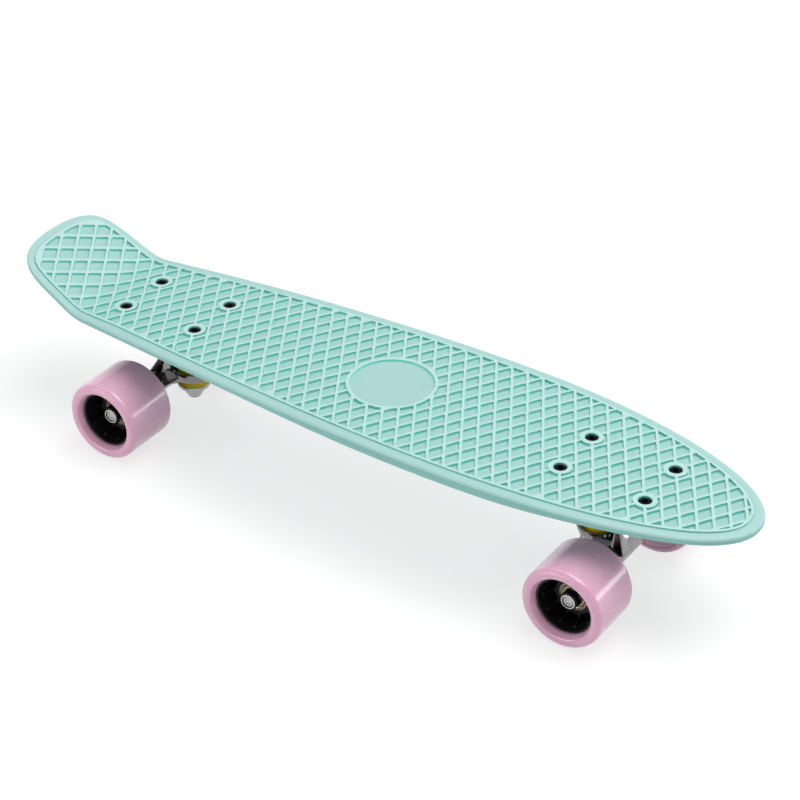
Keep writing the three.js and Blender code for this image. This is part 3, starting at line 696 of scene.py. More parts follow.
def deck_blank():
    """The deck still straight, its rib tops at z = 0: a tray turned over, with its rim stepped down."""
    points = deck_outline()
    blank = slab("deck", points, -10, -RIM_STEP)
    for vertex in blank.data.vertices:
        if vertex.co.z < -5:
            vertex.co.z = -skirt_depth(vertex.co.x)
    edit(blank)
    pick_faces(blank, lambda face: face.normal.z > 0.9)
    bpy.ops.mesh.inset(thickness=RIM_WIDTH_TAIL - GROOVE_WIDTH, depth=0)
    bpy.ops.mesh.inset(thickness=GROOVE_WIDTH, depth=RIM_STEP - GROOVE_DEPTH)
    extrude((0, 0, GROOVE_DEPTH))
    pick_faces(blank, lambda face: face.normal.z < -0.9 and len(face.verts) > 8)
    bpy.ops.mesh.inset(thickness=SKIRT_WALL, depth=0)
    extrude((0, 0, 1))
    leave()
    outline = {(round(x, 2), round(y, 2)) for x, y in points}
    for vertex in blank.data.vertices:
        on_edge = (round(vertex.co.x, 2), round(vertex.co.y, 2)) in outline
        if vertex.co.z < -2 and not on_edge:
            inner = abs(vertex.co.z + skirt_depth(vertex.co.x)) > 0.9
            vertex.co.z = -PLATE_FOOT if inner else vertex.co.z
        elif not on_edge:
            draw_in(vertex, points)
    return blank, outline


def pocket_cutters():
    """One pocket of the waffle, shaped from a square, then repeated over the deck in both slants."""
    take()
    reach = RIB_STEP_X / 2
    spread = RIB_STEP_Y / 2
    half_gap = reach * spread / math.hypot(reach, spread)
    bpy.ops.mesh.primitive_circle_add(vertices=4, radius=1, fill_type="NGON")
    pocket = bpy.context.object
    pocket.name = "pockets"
    for vertex in pocket.data.vertices:
        vertex.co = (vertex.co.x * reach, vertex.co.y * spread, 1)
    height, half_rib = RIB_SECTION[0]
    size = 1 - half_rib / half_gap
    edit(pocket)
    select_all()
    bpy.ops.mesh.bevel(affect="VERTICES", offset=POCKET_CORNER, segments=1)
    bpy.ops.transform.resize(value=(size, size, 1), center_override=(0, 0, 0))
    for level, half_rib in RIB_SECTION[1:]:
        extrude((0, 0, level - height))
        height = level
        new_size = 1 - half_rib / half_gap
        bpy.ops.transform.resize(value=(new_size / size, new_size / size, 1), center_override=(0, 0, 0))
        size = new_size
    leave()
    outward(pocket)
    first = -round((CREASE_PLACE + TAIL_REACH) / RIB_STEP_X) - 1
    columns = round((NOSE_REACH + CREASE_PLACE + TAIL_REACH) / RIB_STEP_X) + 3
    twin = copied(pocket, "pockets_between")
    for part, lines, shift in ((pocket, POCKET_ROWS, 0.5), (twin, POCKET_ROWS + 1, 0)):
        moved(part, RIB_PHASE + (first + shift) * RIB_STEP_X, (1 - lines) / 2 * RIB_STEP_Y)
        for count, offset in ((columns, (RIB_STEP_X, 0, 0)), (lines, (0, RIB_STEP_Y, 0))):
            modify(part, "ARRAY", count=count, use_relative_offset=False, use_constant_offset=True,
                   constant_offset_displace=offset)
    return joined("pockets", [pocket, twin])


def without_slivers(pockets):
    """Leaves out the pockets of which the border rib, the medallion or a boss leaves only a sliver."""
    edit(pockets)
    select_all()
    bpy.ops.mesh.separate(type="LOOSE")
    leave()
    kept = []
    for part in list(bpy.context.selected_objects):
        opening = sum(face.area for face in part.data.polygons if face.normal.z > 0.9)
        if opening > LEAST_OPENING:
            kept.append(part)
        else:
            bpy.data.objects.remove(part)
    return joined("pockets", kept)


def bolt_places():
    return [(end * TRUCK_PLACE + sx * BOLT_LENGTH / 2, sy * BOLT_WIDTH / 2)
            for end in (-1, 1) for sx in (-1, 1) for sy in (-1, 1)]


def inset_slab(name, further, low, high):
    """A slab with the deck's outline, drawn in by the rim's width and a further distance."""
    points = deck_outline()
    field = polygon(name, [(x, y, low) for x, y in points])
    bpy.ops.mesh.select_mode(type="FACE")
    select_all()
    bpy.ops.mesh.inset(thickness=RIM_WIDTH_TAIL + further, depth=0)
    bpy.ops.mesh.select_all(action="INVERT")
    bpy.ops.mesh.delete(type="FACE")
    select_all()
    extrude((0, 0, high - low))
    leave()
    for vertex in field.data.vertices:
        draw_in(vertex, points)
    return outward(field)


def make_deck():
    blank, outline = deck_blank()

    # The bevelled edges: broad at the nose's rim, tighter towards the tail, and fine on the border rib
    def bevel_of(first, second):
        level = abs(first.z - second.z) < 1.5
        on_edge = all((round(v.x, 2), round(v.y, 2)) in outline for v in (first, second))
        middle = (first.x + second.x) / 2
        if not level:
            return 0
        if on_edge and first.z > -RIM_STEP - 0.1:
            share = min(max((middle - BEVEL_TURN_START) / BEVEL_TURN_LENGTH, 0), 1)
            return TAIL_BEVEL + (NOSE_BEVEL - TAIL_BEVEL) * share
        if on_edge:
            return FOOT_BEVEL
        for depth, bevel in ((0, BORDER_BEVEL), (GROOVE_DEPTH, GROOVE_BEVEL), (RIM_STEP, RIM_STEP_BEVEL)):
            if abs(first.z + depth) < 0.05 and abs(second.z + depth) < 0.05:
                return bevel
        return TRAY_BEVEL if first.z < -PLATE_FOOT + 0.4 else 0

    edge_weights(blank, lambda first, second: bevel_of(first, second) / WIDEST_BEVEL)
    modify(blank, "BEVEL", width=WIDEST_BEVEL, segments=5, limit_method="WEIGHT", use_clamp_overlap=True)
    outward(blank)

    # The pockets stop at the border rib and stay clear of the medallion and the bosses
    field = inset_slab("field", BORDER_WIDTH, -5, 5)
    pockets = combine(pocket_cutters(), field, "INTERSECT")
    rings = [upright(rod("ring", MEDALLION_RADIUS, -6, 6, steps=96), MEDALLION_PLACE)]
    rings += [upright(rod("ring", BOSS_RADIUS, -6, 6, steps=40), x, y) for x, y in bolt_places()]
    cut(pockets, joined("rings", rings))
    pockets = without_slivers(pockets)
    edge, floor = MEDALLION_FIELD, -MEDALLION_DEPTH
    medallion = turned("medallion", [
        (0, floor), (edge - 1.6, floor), (edge - 1.1, floor + 0.15), (edge - 0.9, floor + 0.5),
        (edge - 0.7, floor + 1.4), (edge - 0.5, -0.16), (edge, 0), (edge, 2), (0, 2)], steps=96)
    cut(blank, joined("pockets", [pockets, upright(medallion, MEDALLION_PLACE)]))

    # Cuts across the deck let it bend, then every point rises to the side line
    bend_start = BEND_LENGTH / 2 - CREASE_PLACE
    stations = [bend_start - BEND_LENGTH * i / (BEND_CUTS - 1) for i in range(BEND_CUTS)]
    stations += [bend_start + LEVEL_CUT_STEP * i for i in range(1, LEVEL_CUTS + 1)]
    edit(blank)
    for x in stations:
        select_all()
        bpy.ops.mesh.bisect(plane_co=(x, 0, 0), plane_no=(1, 0, 0))
    leave()
    for vertex in blank.data.vertices:
        vertex.co.z += side_height(vertex.co.x)

    # Flat pads for the trucks, ribs between them, and the bolt holes with their recesses
    def block(name, x, y, box, low, high):
        return slab(name, [(x + along, y + across) for along, across in box], low, high)

    pad = rounded_box(PAD_LENGTH, PAD_WIDTH, PAD_CORNER)
    pads = [block("pad", end * TRUCK_PLACE, 0, pad, PAD_FOOT, PAD_TOP) for end in (-1, 1)]
    weld(blank, joined("pads", pads))
    long_rib = rounded_box(2 * UNDER_RIB_REACH, UNDER_RIB_WIDTH, 1, steps=2)
    for y in (-UNDER_RIB_OFFSET, 0, UNDER_RIB_OFFSET):
        weld(blank, block("rib", 0, y, long_rib, UNDER_RIB_FOOT, UNDER_RIB_TOP))
    cross_rib = rounded_box(UNDER_RIB_WIDTH, CROSS_RIB_LENGTH, 1, steps=2)
    for i in range(CROSS_RIB_COUNT):
        x = UNDER_RIB_REACH * (2 * i / (CROSS_RIB_COUNT - 1) - 1) * CROSS_RIB_SPREAD_SHARE
        weld(blank, block("rib", x, 0, cross_rib, UNDER_RIB_FOOT, UNDER_RIB_TOP))
    holes = []
    for x, y in bolt_places():
        top = side_height(x)
        hole = turned("hole", [
            (0, PAD_FOOT - 20), (BOLT_HOLE, PAD_FOOT - 20), (BOLT_HOLE, top - RECESS_DEPTH),
            (RECESS_RADIUS, top - RECESS_DEPTH), (RECESS_RADIUS, top - 0.4),
            (RECESS_RADIUS + 0.2, top - 0.12), (RECESS_MOUTH, top), (RECESS_MOUTH, top + 5),
            (0, top + 5)], steps=40)
        holes.append(upright(hole, x, y))
    cut(blank, joined("holes", holes))

    # Depth below the rib tops, which sets the plastic's painted shade. The rim, skirt and medallion have
    # their own numbers.
    tread = inset_slab("tread", BORDER_WIDTH / 2, -5, 5)
    depth = blank.data.attributes.new("painted_shade_depth", "FLOAT", "POINT")
    for vertex in blank.data.vertices:
        x, y, z = vertex.co
        below = side_height(x) - z
        if below > 2.6:
            share = 0.84
        elif below > 0.5 and not tread.ray_cast((x, y, -50), (0, 0, 1))[0]:
            share = 0.9
        elif math.hypot(x - MEDALLION_PLACE, y) < MEDALLION_FIELD - 1.3:
            share = 1
        else:
            share = 0.8 * min(max(below / WAFFLE_DEPTH, 0), 1)
        depth.data[vertex.index].value = share
    bpy.data.objects.remove(tread)
    settle(blank, Matrix.Translation((SHIFT, 0, 0)))
    shade(blank, angle=40)
    return finish_piece(blank, MINT, "board", "deck_plastic", "deck")


make_deck()

# Wheels


def arc(centre_r, centre_y, radius, start, end, steps):
    """Points of a rounded corner in a turned profile. Angles are in degrees from the outward radius."""
    return [(centre_r + radius * math.cos(math.radians(start + (end - start) * i / steps)),
             centre_y + radius * math.sin(math.radians(start + (end - start) * i / steps)))
            for i in range(steps + 1)]


def make_tyre():
    """A tyre with its outer face dished in to the core and a broad round lip at both ends of its tread."""
    bore = CORE_RADIUS + 0.25
    outer = [(bore, WHEEL_OUT - 8), (bore + 0.75, WHEEL_OUT - 7.6), (bore + 0.8, WHEEL_OUT - 4.4),
             (bore + 1, WHEEL_OUT - 3.7), (bore + 1.55, WHEEL_OUT - 2.7)]
    outer += arc(WHEEL_RADIUS - WHEEL_LIP, WHEEL_OUT - WHEEL_LIP, WHEEL_LIP, 136, 0, 16)
    inner = arc(WHEEL_RADIUS - WHEEL_LIP_IN, WHEEL_IN + WHEEL_LIP_IN, WHEEL_LIP_IN, 0, -98, 9)
    inner += [(bore + 4.95, WHEEL_IN + 0.75), (bore + 0.35, WHEEL_IN + 2.2), (bore, WHEEL_IN + 2.6)]
    profile = outer + inner + [outer[0]]
    return shade(turned("tyre", profile, steps=96), angle=40)


def make_core():
    """A black moulded core: a rim under the tyre, a boss for the bearings, a web and radial ribs."""
    seat, boss, wall = BEARING_RADIUS + 0.3, BEARING_RADIUS + 2.7, CORE_RADIUS - 2.2
    shoulder, flange = BEARING_RADIUS - 1.7, CORE_RADIUS + 0.85
    seat_in, seat_out = BEARING_INNER_FACE + BEARING_WIDTH + 0.3, BEARING_OUTER_FACE - BEARING_WIDTH - 0.3
    web_in, web_out = seat_out - 1.5, seat_out + 2.2
    shell = turned("core", [
        (shoulder, seat_in), (seat, seat_in), (seat, BEARING_INNER_FACE), (boss, BEARING_INNER_FACE),
        (boss, web_in), (wall, web_in), (wall, CORE_IN), (CORE_RADIUS, CORE_IN),
        (CORE_RADIUS, CORE_OUT - 2.1), (flange, CORE_OUT - 1.7), (flange, CORE_OUT - 0.3),
        (flange - 0.35, CORE_OUT), (CORE_RADIUS - 0.1, CORE_OUT), (CORE_RADIUS - 1, CORE_OUT - 1.1),
        (wall + 0.5, CORE_OUT - 5.3), (wall - 0.1, web_out + 0.4), (wall - 0.5, web_out),
        (boss + 0.4, web_out - 0.4), (boss, web_out), (boss, BEARING_OUTER_FACE - 0.4),
        (boss - 0.4, BEARING_OUTER_FACE), (seat, BEARING_OUTER_FACE), (seat, seat_out), (shoulder, seat_out),
        (shoulder, seat_in)], steps=72)
    foot, top = boss - 0.5, wall + 1
    outer_rib = slab("rib", [
        (foot, web_out - 1.5), (top, web_out - 1.5), (top, CORE_OUT - 4.1), (top - 0.9, CORE_OUT - 4.5),
        (top - 2.4, CORE_OUT - 9.9), (foot + 1.8, BEARING_OUTER_FACE - 0.2),
        (foot, BEARING_OUTER_FACE - 0.4)], -CORE_RIB_HALF, CORE_RIB_HALF)
    inner_rib = slab("rib", rounded_box(6.2, 15.2, 0.4, steps=2), -CORE_RIB_HALF, CORE_RIB_HALF)
    moved(inner_rib, (boss + wall) / 2 + 0.05, web_in - 5.8)
    for pattern in (outer_rib, inner_rib):
        for i in range(CORE_RIB_COUNT):
            spin = Matrix.Rotation(FULL_TURN * i / CORE_RIB_COUNT, 4, "Y")
            weld(shell, turn_piece(copied(pattern, "rib"), spin))
        bpy.data.objects.remove(pattern)
    return shade(shell, angle=30)


def tag_faces(piece, name, value_of):
    """Gives each face a number that the piece's material reads."""
    tags = piece.data.attributes.new(name, "FLOAT", "FACE")
    for face in piece.data.polygons:
        tags.data[face.index].value = value_of(face.center)
    return piece


def make_bearing(face):
    """Two races and a dished shield, one ring. The face looks towards +Y."""
    low = face - BEARING_WIDTH
    bore, outside = 4.1, BEARING_RADIUS
    inner_race, outer_race = bore + 2, outside - 2
    ring = turned("bearing", [
        (bore, low + 0.3), (bore + 0.3, low), (inner_race + 0.1, low), (inner_race + 0.2, low + 0.5),
        (outer_race - 0.2, low + 0.5), (outer_race, low), (outside - 0.3, low), (outside, low + 0.3),
        (outside, face - 0.3), (outside - 0.3, face), (outer_race + 0.1, face), (outer_race, face - 0.25),
        (outer_race - 0.3, face - 0.3), (outer_race - 0.8, face - 0.62), (inner_race + 0.8, face - 0.62),
        (inner_race + 0.4, face - 0.4), (inner_race + 0.15, face - 0.5), (inner_race, face),
        (bore + 0.3, face), (bore, face - 0.3), (bore, low + 0.3)], steps=64)
    tag_faces(ring, "brass", lambda at: 1 if inner_race + 0.12 < math.hypot(at.x, at.z) < outer_race else 0)
    return shade(ring, angle=30)


def make_axle_nut():
    """A black lock nut with a flange washer below it and a pale locking ring in its face."""
    low, high = NUT_LOW, NUT_HIGH
    nut = hexagon("axle_nut", NUT_ACROSS, -high, -(low + 0.5))
    turn_piece(nut, Matrix.Rotation(math.pi / 2, 4, "X"))
    corner = NUT_ACROSS / 2 + 1
    dome = turned("dome", [(0, low + 0.2), (corner, low + 0.2), (corner, high - 1.7),
                           (corner - 0.85, high - 0.3), (corner - 1.05, high), (0, high)], steps=48)
    combine(nut, dome, "INTERSECT")
    soften(nut, 0.25, angle=40)
    rim = 6.6
    weld(nut, turned("washer", [(0, low), (rim - 0.2, low), (rim, low + 0.2), (rim, low + 0.6),
                                (rim - 0.2, low + 0.8), (0, low + 0.8)], steps=48))
    ring, top = 5.6, NUT_RING_TOP
    weld(nut, turned("ring", [(0, high - 0.3), (ring, high - 0.3), (ring, top - 0.7),
                              (ring - 0.3, top - 0.2), (ring - 0.7, top), (0, top)], steps=48))
    cut(nut, rod("bore", AXLE_BORE, low - 7, high + 8, steps=40))

    def pale(at):
        on_washer = at.y < low + 0.81 and math.hypot(at.x, at.z) > rim - 0.6
        return 1 if at.y > high + 0.01 or on_washer else 0

    tag_faces(nut, "pale", pale)
    return shade(nut, angle=30)


def wheel_matrix(end, side):
    """Where a wheel goes: its own frame has the axle line at the origin."""
    turn = Matrix.Rotation(0 if side == "left" else math.pi, 4, "Z")
    sign = 1 if end == "front" else -1
    return Matrix.Translation((sign * (TRUCK_PLACE + AXLE_OUT) + SHIFT, 0, AXLE_HEIGHT)) @ turn


# Trucks, each piece made in the front truck's place about the bolt pattern's middle


def truck_matrix(end):
    turn = Matrix.Rotation(0 if end == "front" else math.pi, 4, "Z")
    sign = 1 if end == "front" else -1
    return Matrix.Translation((sign * TRUCK_PLACE + SHIFT, 0, 0)) @ turn


def along_pivot(piece):
    """Lays a piece turned about Y onto the steering line, with its y = 0 at the pivot."""
    tilt = Matrix.Rotation(math.pi / 2 - STEER, 4, "Y") @ Matrix.Rotation(math.pi / 2, 4, "X")
    return turn_piece(piece, Matrix.Translation((PIVOT_X, 0, PIVOT_Z)) @ tilt)


def hull(name, points):
    """The convex body round some points and their mirror images in Y."""
    piece = polygon(name, points + [(x, -y, z) for x, y, z in points], fill_type="NOTHING")
    bpy.ops.mesh.remove_doubles(threshold=1e-3)
    select_all()
    bpy.ops.mesh.convex_hull(join_triangles=False)
    select_all()
    bpy.ops.mesh.dissolve_limited(angle_limit=math.radians(1.5))
    leave()
    return outward(piece)


def ring_points(radius, steps=24):
    return [(radius * math.cos(FULL_TURN * i / steps), radius * math.sin(FULL_TURN * i / steps))
            for i in range(steps)]


def kingpin_place(piece):
    return upright(piece, KINGPIN_IN)


def make_hanger():
    """The casting that carries the axle: bar, web, steering arm with its nose, and the bushings' ring."""
    bar = [(AXLE_OUT + x, BAR_START, AXLE_HEIGHT + z) for x, z in BAR_SECTION]
    bar += [(AXLE_OUT + x, BAR_END, AXLE_HEIGHT + z) for x, z in ring_points(BAR_END_RADIUS)]
    casting = soften(hull("hanger", bar), 0.9, angle=18, segments=3)
    ridge = (AXLE_OUT - 3.2, RIDGE_HALF_WIDTH, RING_TOP)
    web = hull("web", [
        (KINGPIN_IN, 14, RING_TOP), ridge, (KINGPIN_IN, 12.8, RING_FOOT),
        (AXLE_OUT - 6.8, WEB_HALF_WIDTH, AXLE_HEIGHT), (AXLE_OUT, WEB_HALF_WIDTH, AXLE_HEIGHT),
        (AXLE_OUT, RIDGE_HALF_WIDTH, RING_TOP - 3.2)])
    root = PIVOT_REACH - PIVOT_STUB
    root_x = KINGPIN_IN + root * math.cos(STEER)
    root_z = RING_MIDDLE + root * math.sin(STEER)
    arm = [ridge, (AXLE_OUT - 6.8, RIDGE_HALF_WIDTH, AXLE_HEIGHT),
           (AXLE_OUT + 9.2, ARM_HALF_WIDTH, AXLE_HEIGHT + 5.2),
           (AXLE_OUT, ARM_HALF_WIDTH, AXLE_HEIGHT + 2.6)]
    arm += [(root_x - x * math.sin(STEER), y, root_z + x * math.cos(STEER))
            for x, y in ring_points(ARM_ROOT_RADIUS)]
    weld(casting, soften(web, 0.7, angle=18, segments=3))
    weld(casting, soften(hull("arm", arm), 0.8, angle=18, segments=3))
    foot, seat, lip = RING_FOOT, RING_TOP, LIP_TOP
    bell = turned("bell", [
        (0, foot), (13, foot), (13.7, foot + 0.4), (14.8, foot + 2.8), (15.6, seat - 0.8), (15.8, seat + 1),
        (15.5, lip - 0.4), (14.9, lip), (0, lip)], steps=80)
    weld(casting, kingpin_place(bell))
    nose = arc(0, 0, PIVOT_RADIUS - 0.3, 0, 90, 8)[1:]
    stub = turned("stub", [
        (0, -PIVOT_STUB), (PIVOT_RADIUS, -PIVOT_STUB), (PIVOT_RADIUS, 0), *nose], steps=48)
    weld(casting, along_pivot(stub))
    bore, pocket, clear = RING_BORE, BUSHING_RADIUS + 0.4, BUSHING_RADIUS + 2.4
    room = turned("room", [
        (0, foot - 24), (clear, foot - 24), (clear, foot - 0.8), (clear - 0.3, foot), (bore + 0.8, foot),
        (bore, foot + 0.8), (bore, seat - 0.8), (bore + 0.8, seat), (pocket, seat),
        (pocket + 0.3, seat + 0.3), (pocket + 0.5, lip - 0.7), (pocket + 1, lip - 0.1), (clear, lip + 0.4),
        (clear, seat + 30), (0, seat + 30)], steps=80)
    cut(casting, kingpin_place(room))
    axle_hole = rod("axle_hole", AXLE_BORE, -60, 60, steps=40)
    cut(casting, moved(axle_hole, AXLE_OUT, 0, AXLE_HEIGHT))
    return shade(casting, angle=28)


def make_baseplate():
    """The casting under the deck: plate, kingpin boss, pivot housing, and the web between the two."""
    low, high = PLATE_LOW, PLATE_HIGH
    plan = rounded_box(PLATE_LENGTH, PLATE_WIDTH, PLATE_CORNER, steps=8)
    plate = soften(slab("baseplate", plan, low, high), 1.1, angle=40, segments=3)
    rib = slab("rib", rounded_box(50, 34, 6, steps=4), low - 1.8, low + 2.3)
    weld(plate, soften(rib, 0.8, angle=40, segments=2))
    foot = PLATE_BOSS_FOOT
    boss = turned("boss", [
        (0, foot), (11.6, foot), (12.2, foot + 0.6), (13.2, foot + 8.4), (15, low - 3.3), (17.6, low - 0.5),
        (20, low + 0.3), (0, low + 2.3)], steps=72)
    weld(plate, kingpin_place(boss))
    outside, mouth = HOUSING_RADIUS, HOUSING_MOUTH
    housing = along_pivot(turned("housing", [
        (0, mouth), (outside - 1, mouth), (outside, mouth + 1), (outside, 34), (0, 34)], steps=64))
    middle = (PIVOT_X + KINGPIN_IN) / 2
    web_plan = [(x + middle, y) for x, y in rounded_box(PIVOT_X - KINGPIN_IN + 6, 12, 2, steps=2)]
    web = soften(slab("web", web_plan, foot, high - 1.2), 0.8, angle=40, segments=2)
    cut(web, along_pivot(rod("room", outside + 0.3, -41, mouth, steps=48)))
    block = slab("block", plan, 20, high)
    outgrown = combine(weld(housing, web), block, "INTERSECT")
    weld(plate, outgrown)
    cut(plate, kingpin_place(rod("bore", WASHER_BORE, 20, 100, steps=40)))
    seat = hexagon("seat", KINGPIN_ACROSS + 0.3, KINGPIN_HEAD_FOOT - 0.3, high + 11)
    cut(plate, moved(seat, KINGPIN_IN))
    cut(plate, along_pivot(rod("cup_seat", CUP_RADIUS + 0.3, -CUP_DEPTH, CUP_DEPTH + 0.3, steps=48)))
    for sx in (-1, 1):
        for sy in (-1, 1):
            hole = rod("hole", BOLT_HOLE, 20, 100, steps=24)
            cut(plate, upright(hole, sx * BOLT_LENGTH / 2, sy * BOLT_WIDTH / 2))
    return shade(plate, angle=28)


def make_pivot_cup():
    bore, outside, mouth, end = CUP_BORE, CUP_RADIUS, HOUSING_MOUTH, CUP_DEPTH
    bowl = [(bore * math.sin(math.radians(a)), -0.3 + bore * math.cos(math.radians(a)))
            for a in range(15, 91, 15)]
    cup = turned("pivot_cup", [
        (bore, mouth + 0.4), (bore + 0.4, mouth), (outside - 0.4, mouth), (outside, mouth + 0.4),
        (outside, end - 0.4), (outside - 0.4, end), (0, end), (0, bore - 0.3), *bowl,
        (bore, mouth + 0.4)], steps=56)
    return shade(along_pivot(cup), angle=35)


def make_kingpin():
    foot, thread_end = KINGPIN_FOOT, KINGPIN_FOOT + KINGPIN_TURNS * KINGPIN_PITCH + 0.05
    shank = rod("kingpin", KINGPIN_RADIUS, foot + 0.6, KINGPIN_HEAD_FOOT + 0.5, steps=40)
    threads = [(0, foot)]
    for i in range(KINGPIN_TURNS):
        groove = foot + i * KINGPIN_PITCH
        threads += [(KINGPIN_THREAD, groove), (KINGPIN_RADIUS, groove + 0.6)]
    threads += [(KINGPIN_THREAD, thread_end), (0, thread_end)]
    pin = kingpin_place(turned("kingpin", threads, steps=40))
    weld(pin, kingpin_place(cut(shank, rod("end", 6, foot - 6, thread_end - 0.3, steps=24))))
    head = hexagon("head", KINGPIN_ACROSS, KINGPIN_HEAD_FOOT, KINGPIN_HEAD_TOP)
    head = soften(moved(head, KINGPIN_IN), 0.5)
    return shade(weld(pin, head), angle=30)


def make_kingpin_nut():
    """A lock nut whose corners run down into a smooth bowl."""
    low, high = KINGPIN_NUT_FOOT, KINGPIN_NUT_TOP
    nut = hexagon("kingpin_nut", KINGPIN_ACROSS, low, high)
    turn_piece(nut, Matrix.Rotation(math.radians(12), 4, "Z"))
    dome = turned("dome", [(0, low), (4.9, low), (5.6, low + 0.5), (6.3, low + 1.6), (6.9, low + 3),
                           (7.6, low + 4.8), (8.1, high), (0, high)], steps=64)
    combine(nut, upright(dome), "INTERSECT")
    collar = upright(turned("collar", [
        (0, low + 0.1), (4.9, low + 0.1), (5.5, low + 0.6), (6.15, low + 1.6), (6.7, low + 3),
        (7.35, low + 4.8), (7.8, high - 0.1), (0, high - 0.1)], steps=64))
    weld(nut, collar)
    cut(nut, upright(rod("bore", 4.9, low - 7, high + 7, steps=40)))
    return shade(moved(soften(nut, 0.15, angle=45), KINGPIN_IN), angle=30)


def make_cup_washer(name, foot, up):
    """A pressed cup: its disc bears on the nut or the baseplate, its rim stands round the bushing."""
    bore, inside = WASHER_BORE, BUSHING_RADIUS + 0.3
    profile = [(bore, 0.3), (bore + 0.24, 0), (8.0, 0), (9.4, 0.3), (10.9, 1.1), (inside - 0.1, 2.3),
               (inside + 0.3, 3.4), (inside + 0.4, 5.1), (inside + 0.25, 5.35), (inside, 5.4), (inside, 3.4),
               (inside - 0.5, 2.6), (inside - 1.1, 2.25), (bore + 0.24, 2.2), (bore, 2.0), (bore, 0.3)]
    cup = turned(name, [(radius, foot + up * height) for radius, height in profile], steps=80)
    return shade(kingpin_place(cup), angle=35)


def make_bushing(name, foot, height):
    """A barrel of yellow urethane with a flat seat at both ends."""
    low, high = foot, foot + height
    bore, seat, outside = BUSHING_BORE, BUSHING_SEAT, BUSHING_RADIUS
    profile = [(bore, low), (seat, low), (outside - 0.4, low + 0.35), (outside - 0.1, low + 1.2),
               (outside, low + height * 0.35), (outside, high - 1.4), (outside - 0.4, high - 0.4),
               (seat, high), (bore, high), (bore, low)]
    return shade(kingpin_place(turned(name, profile, steps=80)), angle=35)


def make_axle():
    shaft, start, end = AXLE_RADIUS, AXLE_COLLAR, AXLE_HALF
    collar, stop = AXLE_COLLAR_RADIUS, AXLE_COLLAR + AXLE_COLLAR_WIDTH
    side = [(shaft, start - 0.5), (shaft, start), (collar - 0.2, start), (collar, start + 0.2),
            (collar, stop - 0.2), (collar - 0.2, stop), (shaft, stop), (shaft, AXLE_THREAD_START - 0.4)]
    for i in range(8):
        crest = AXLE_THREAD_START + i * AXLE_THREAD_PITCH
        side += [(shaft, crest), (shaft - 0.42, crest + 0.6)]
    side += [(shaft, end - 0.6), (3.5, end), (2.3, end), (1.9, end - 0.5), (0, end - 0.5)]
    profile = [(radius, -along) for radius, along in reversed(side)] + side
    axle = turned("axle", profile, steps=48)
    return shade(moved(axle, AXLE_OUT, 0, AXLE_HEIGHT), angle=30)


def make_bolt():
    """A socket cap bolt with its tip threaded and the top of its head at z = 0."""
    shank, head, under = BOLT_RADIUS, BOLT_HEAD, -BOLT_HEAD_HEIGHT
    profile = [(0, -BOLT_REACH), (shank - 0.5, -BOLT_REACH), (shank - 0.3, -BOLT_REACH + 0.4)]
    for i in range(8):
        crest = -BOLT_REACH + 0.7 + i * 0.8
        profile += [(shank, crest), (shank - 0.35, crest + 0.4)]
    profile += [(shank, -16), (shank, under), (head - 0.2, under), (head, under + 0.2), (head, -0.7),
                (head - 0.15, -0.25), (head - 0.5, 0), (0, 0)]
    bolt = upright(turned("bolt", profile, steps=40))
    cut(bolt, hexagon("socket", 4, -2.2, 5))
    return shade(soften(bolt, 0.12, angle=50, segments=1), angle=30)


def make_deck_nut():
    low, high, corner = DECK_NUT_FOOT, DECK_NUT_TOP, DECK_NUT_ROUND
    nut = hexagon("deck_nut", DECK_NUT_ACROSS, low, high)
    dome = turned("dome", [(0, low - 0.3), (corner - 0.85, low), (corner, low + 0.7), (corner, high - 0.6),
                           (corner - 0.65, high), (0, high)], steps=40)
    combine(nut, upright(dome), "INTERSECT")
    insert = turned("insert", [(0, low - 1.3), (3.3, low - 1.3), (3.8, low - 1), (3.95, low + 0.3),
                               (0, low + 0.3)], steps=40)
    weld(nut, upright(insert))
    cut(nut, upright(rod("bore", BOLT_HOLE - 0.1, low - 9, high + 7, steps=24)))
    return shade(nut, angle=30)


# Fitting: every pattern is copied to its places, and each copy stands for its piece of the model

bolt, deck_nut = make_bolt(), make_deck_nut()
for i, (x, y) in enumerate(bolt_places(), 1):
    spot = Matrix.Translation((x + SHIFT, y, 0)) @ Matrix.Rotation(i * 0.7, 4, "Z")
    head = Matrix.Translation((0, 0, side_height(x) - BOLT_SINK)) @ spot
    for pattern, node_name, place in ((bolt, f"deck_bolt_{i}", head), (deck_nut, f"deck_nut_{i}", spot)):
        skin = settle(copied(pattern, "skin_" + node_name), place)
        finish_piece(skin, BLACK_STEEL, "board", "black_bolt", node_name)
for pattern in (bolt, deck_nut):
    bpy.data.objects.remove(pattern)

TRUCK_PIECES = [
    ("baseplate", make_baseplate(), CASTING, "board", "cast_metal"),
    ("pivot_cup", make_pivot_cup(), YELLOW, "board", "bushing_urethane"),
    ("kingpin", make_kingpin(), ZINC, "board", "zinc_steel"),
    ("kingpin_nut", make_kingpin_nut(), ZINC, "board", "zinc_steel"),
    ("board_washer", make_cup_washer("board_washer", BOARD_WASHER, -1), ZINC, "board", "zinc_steel"),
    ("road_washer", make_cup_washer("road_washer", ROAD_WASHER, 1), ZINC, "board", "zinc_steel"),
    ("hanger", make_hanger(), CASTING, "truck", "cast_metal"),
    ("axle", make_axle(), AXLE_STEEL, "truck", "axle_steel"),
]
BUSHINGS = [
    ("board_bushing", make_bushing("board_bushing", BOARD_BUSHING, BOARD_BUSHING_HEIGHT),
     BOARD_BUSHING + BOARD_BUSHING_HEIGHT, BOARD_BUSHING),
    ("road_bushing", make_bushing("road_bushing", ROAD_BUSHING, ROAD_BUSHING_HEIGHT),
     ROAD_BUSHING, ROAD_BUSHING + ROAD_BUSHING_HEIGHT),
]
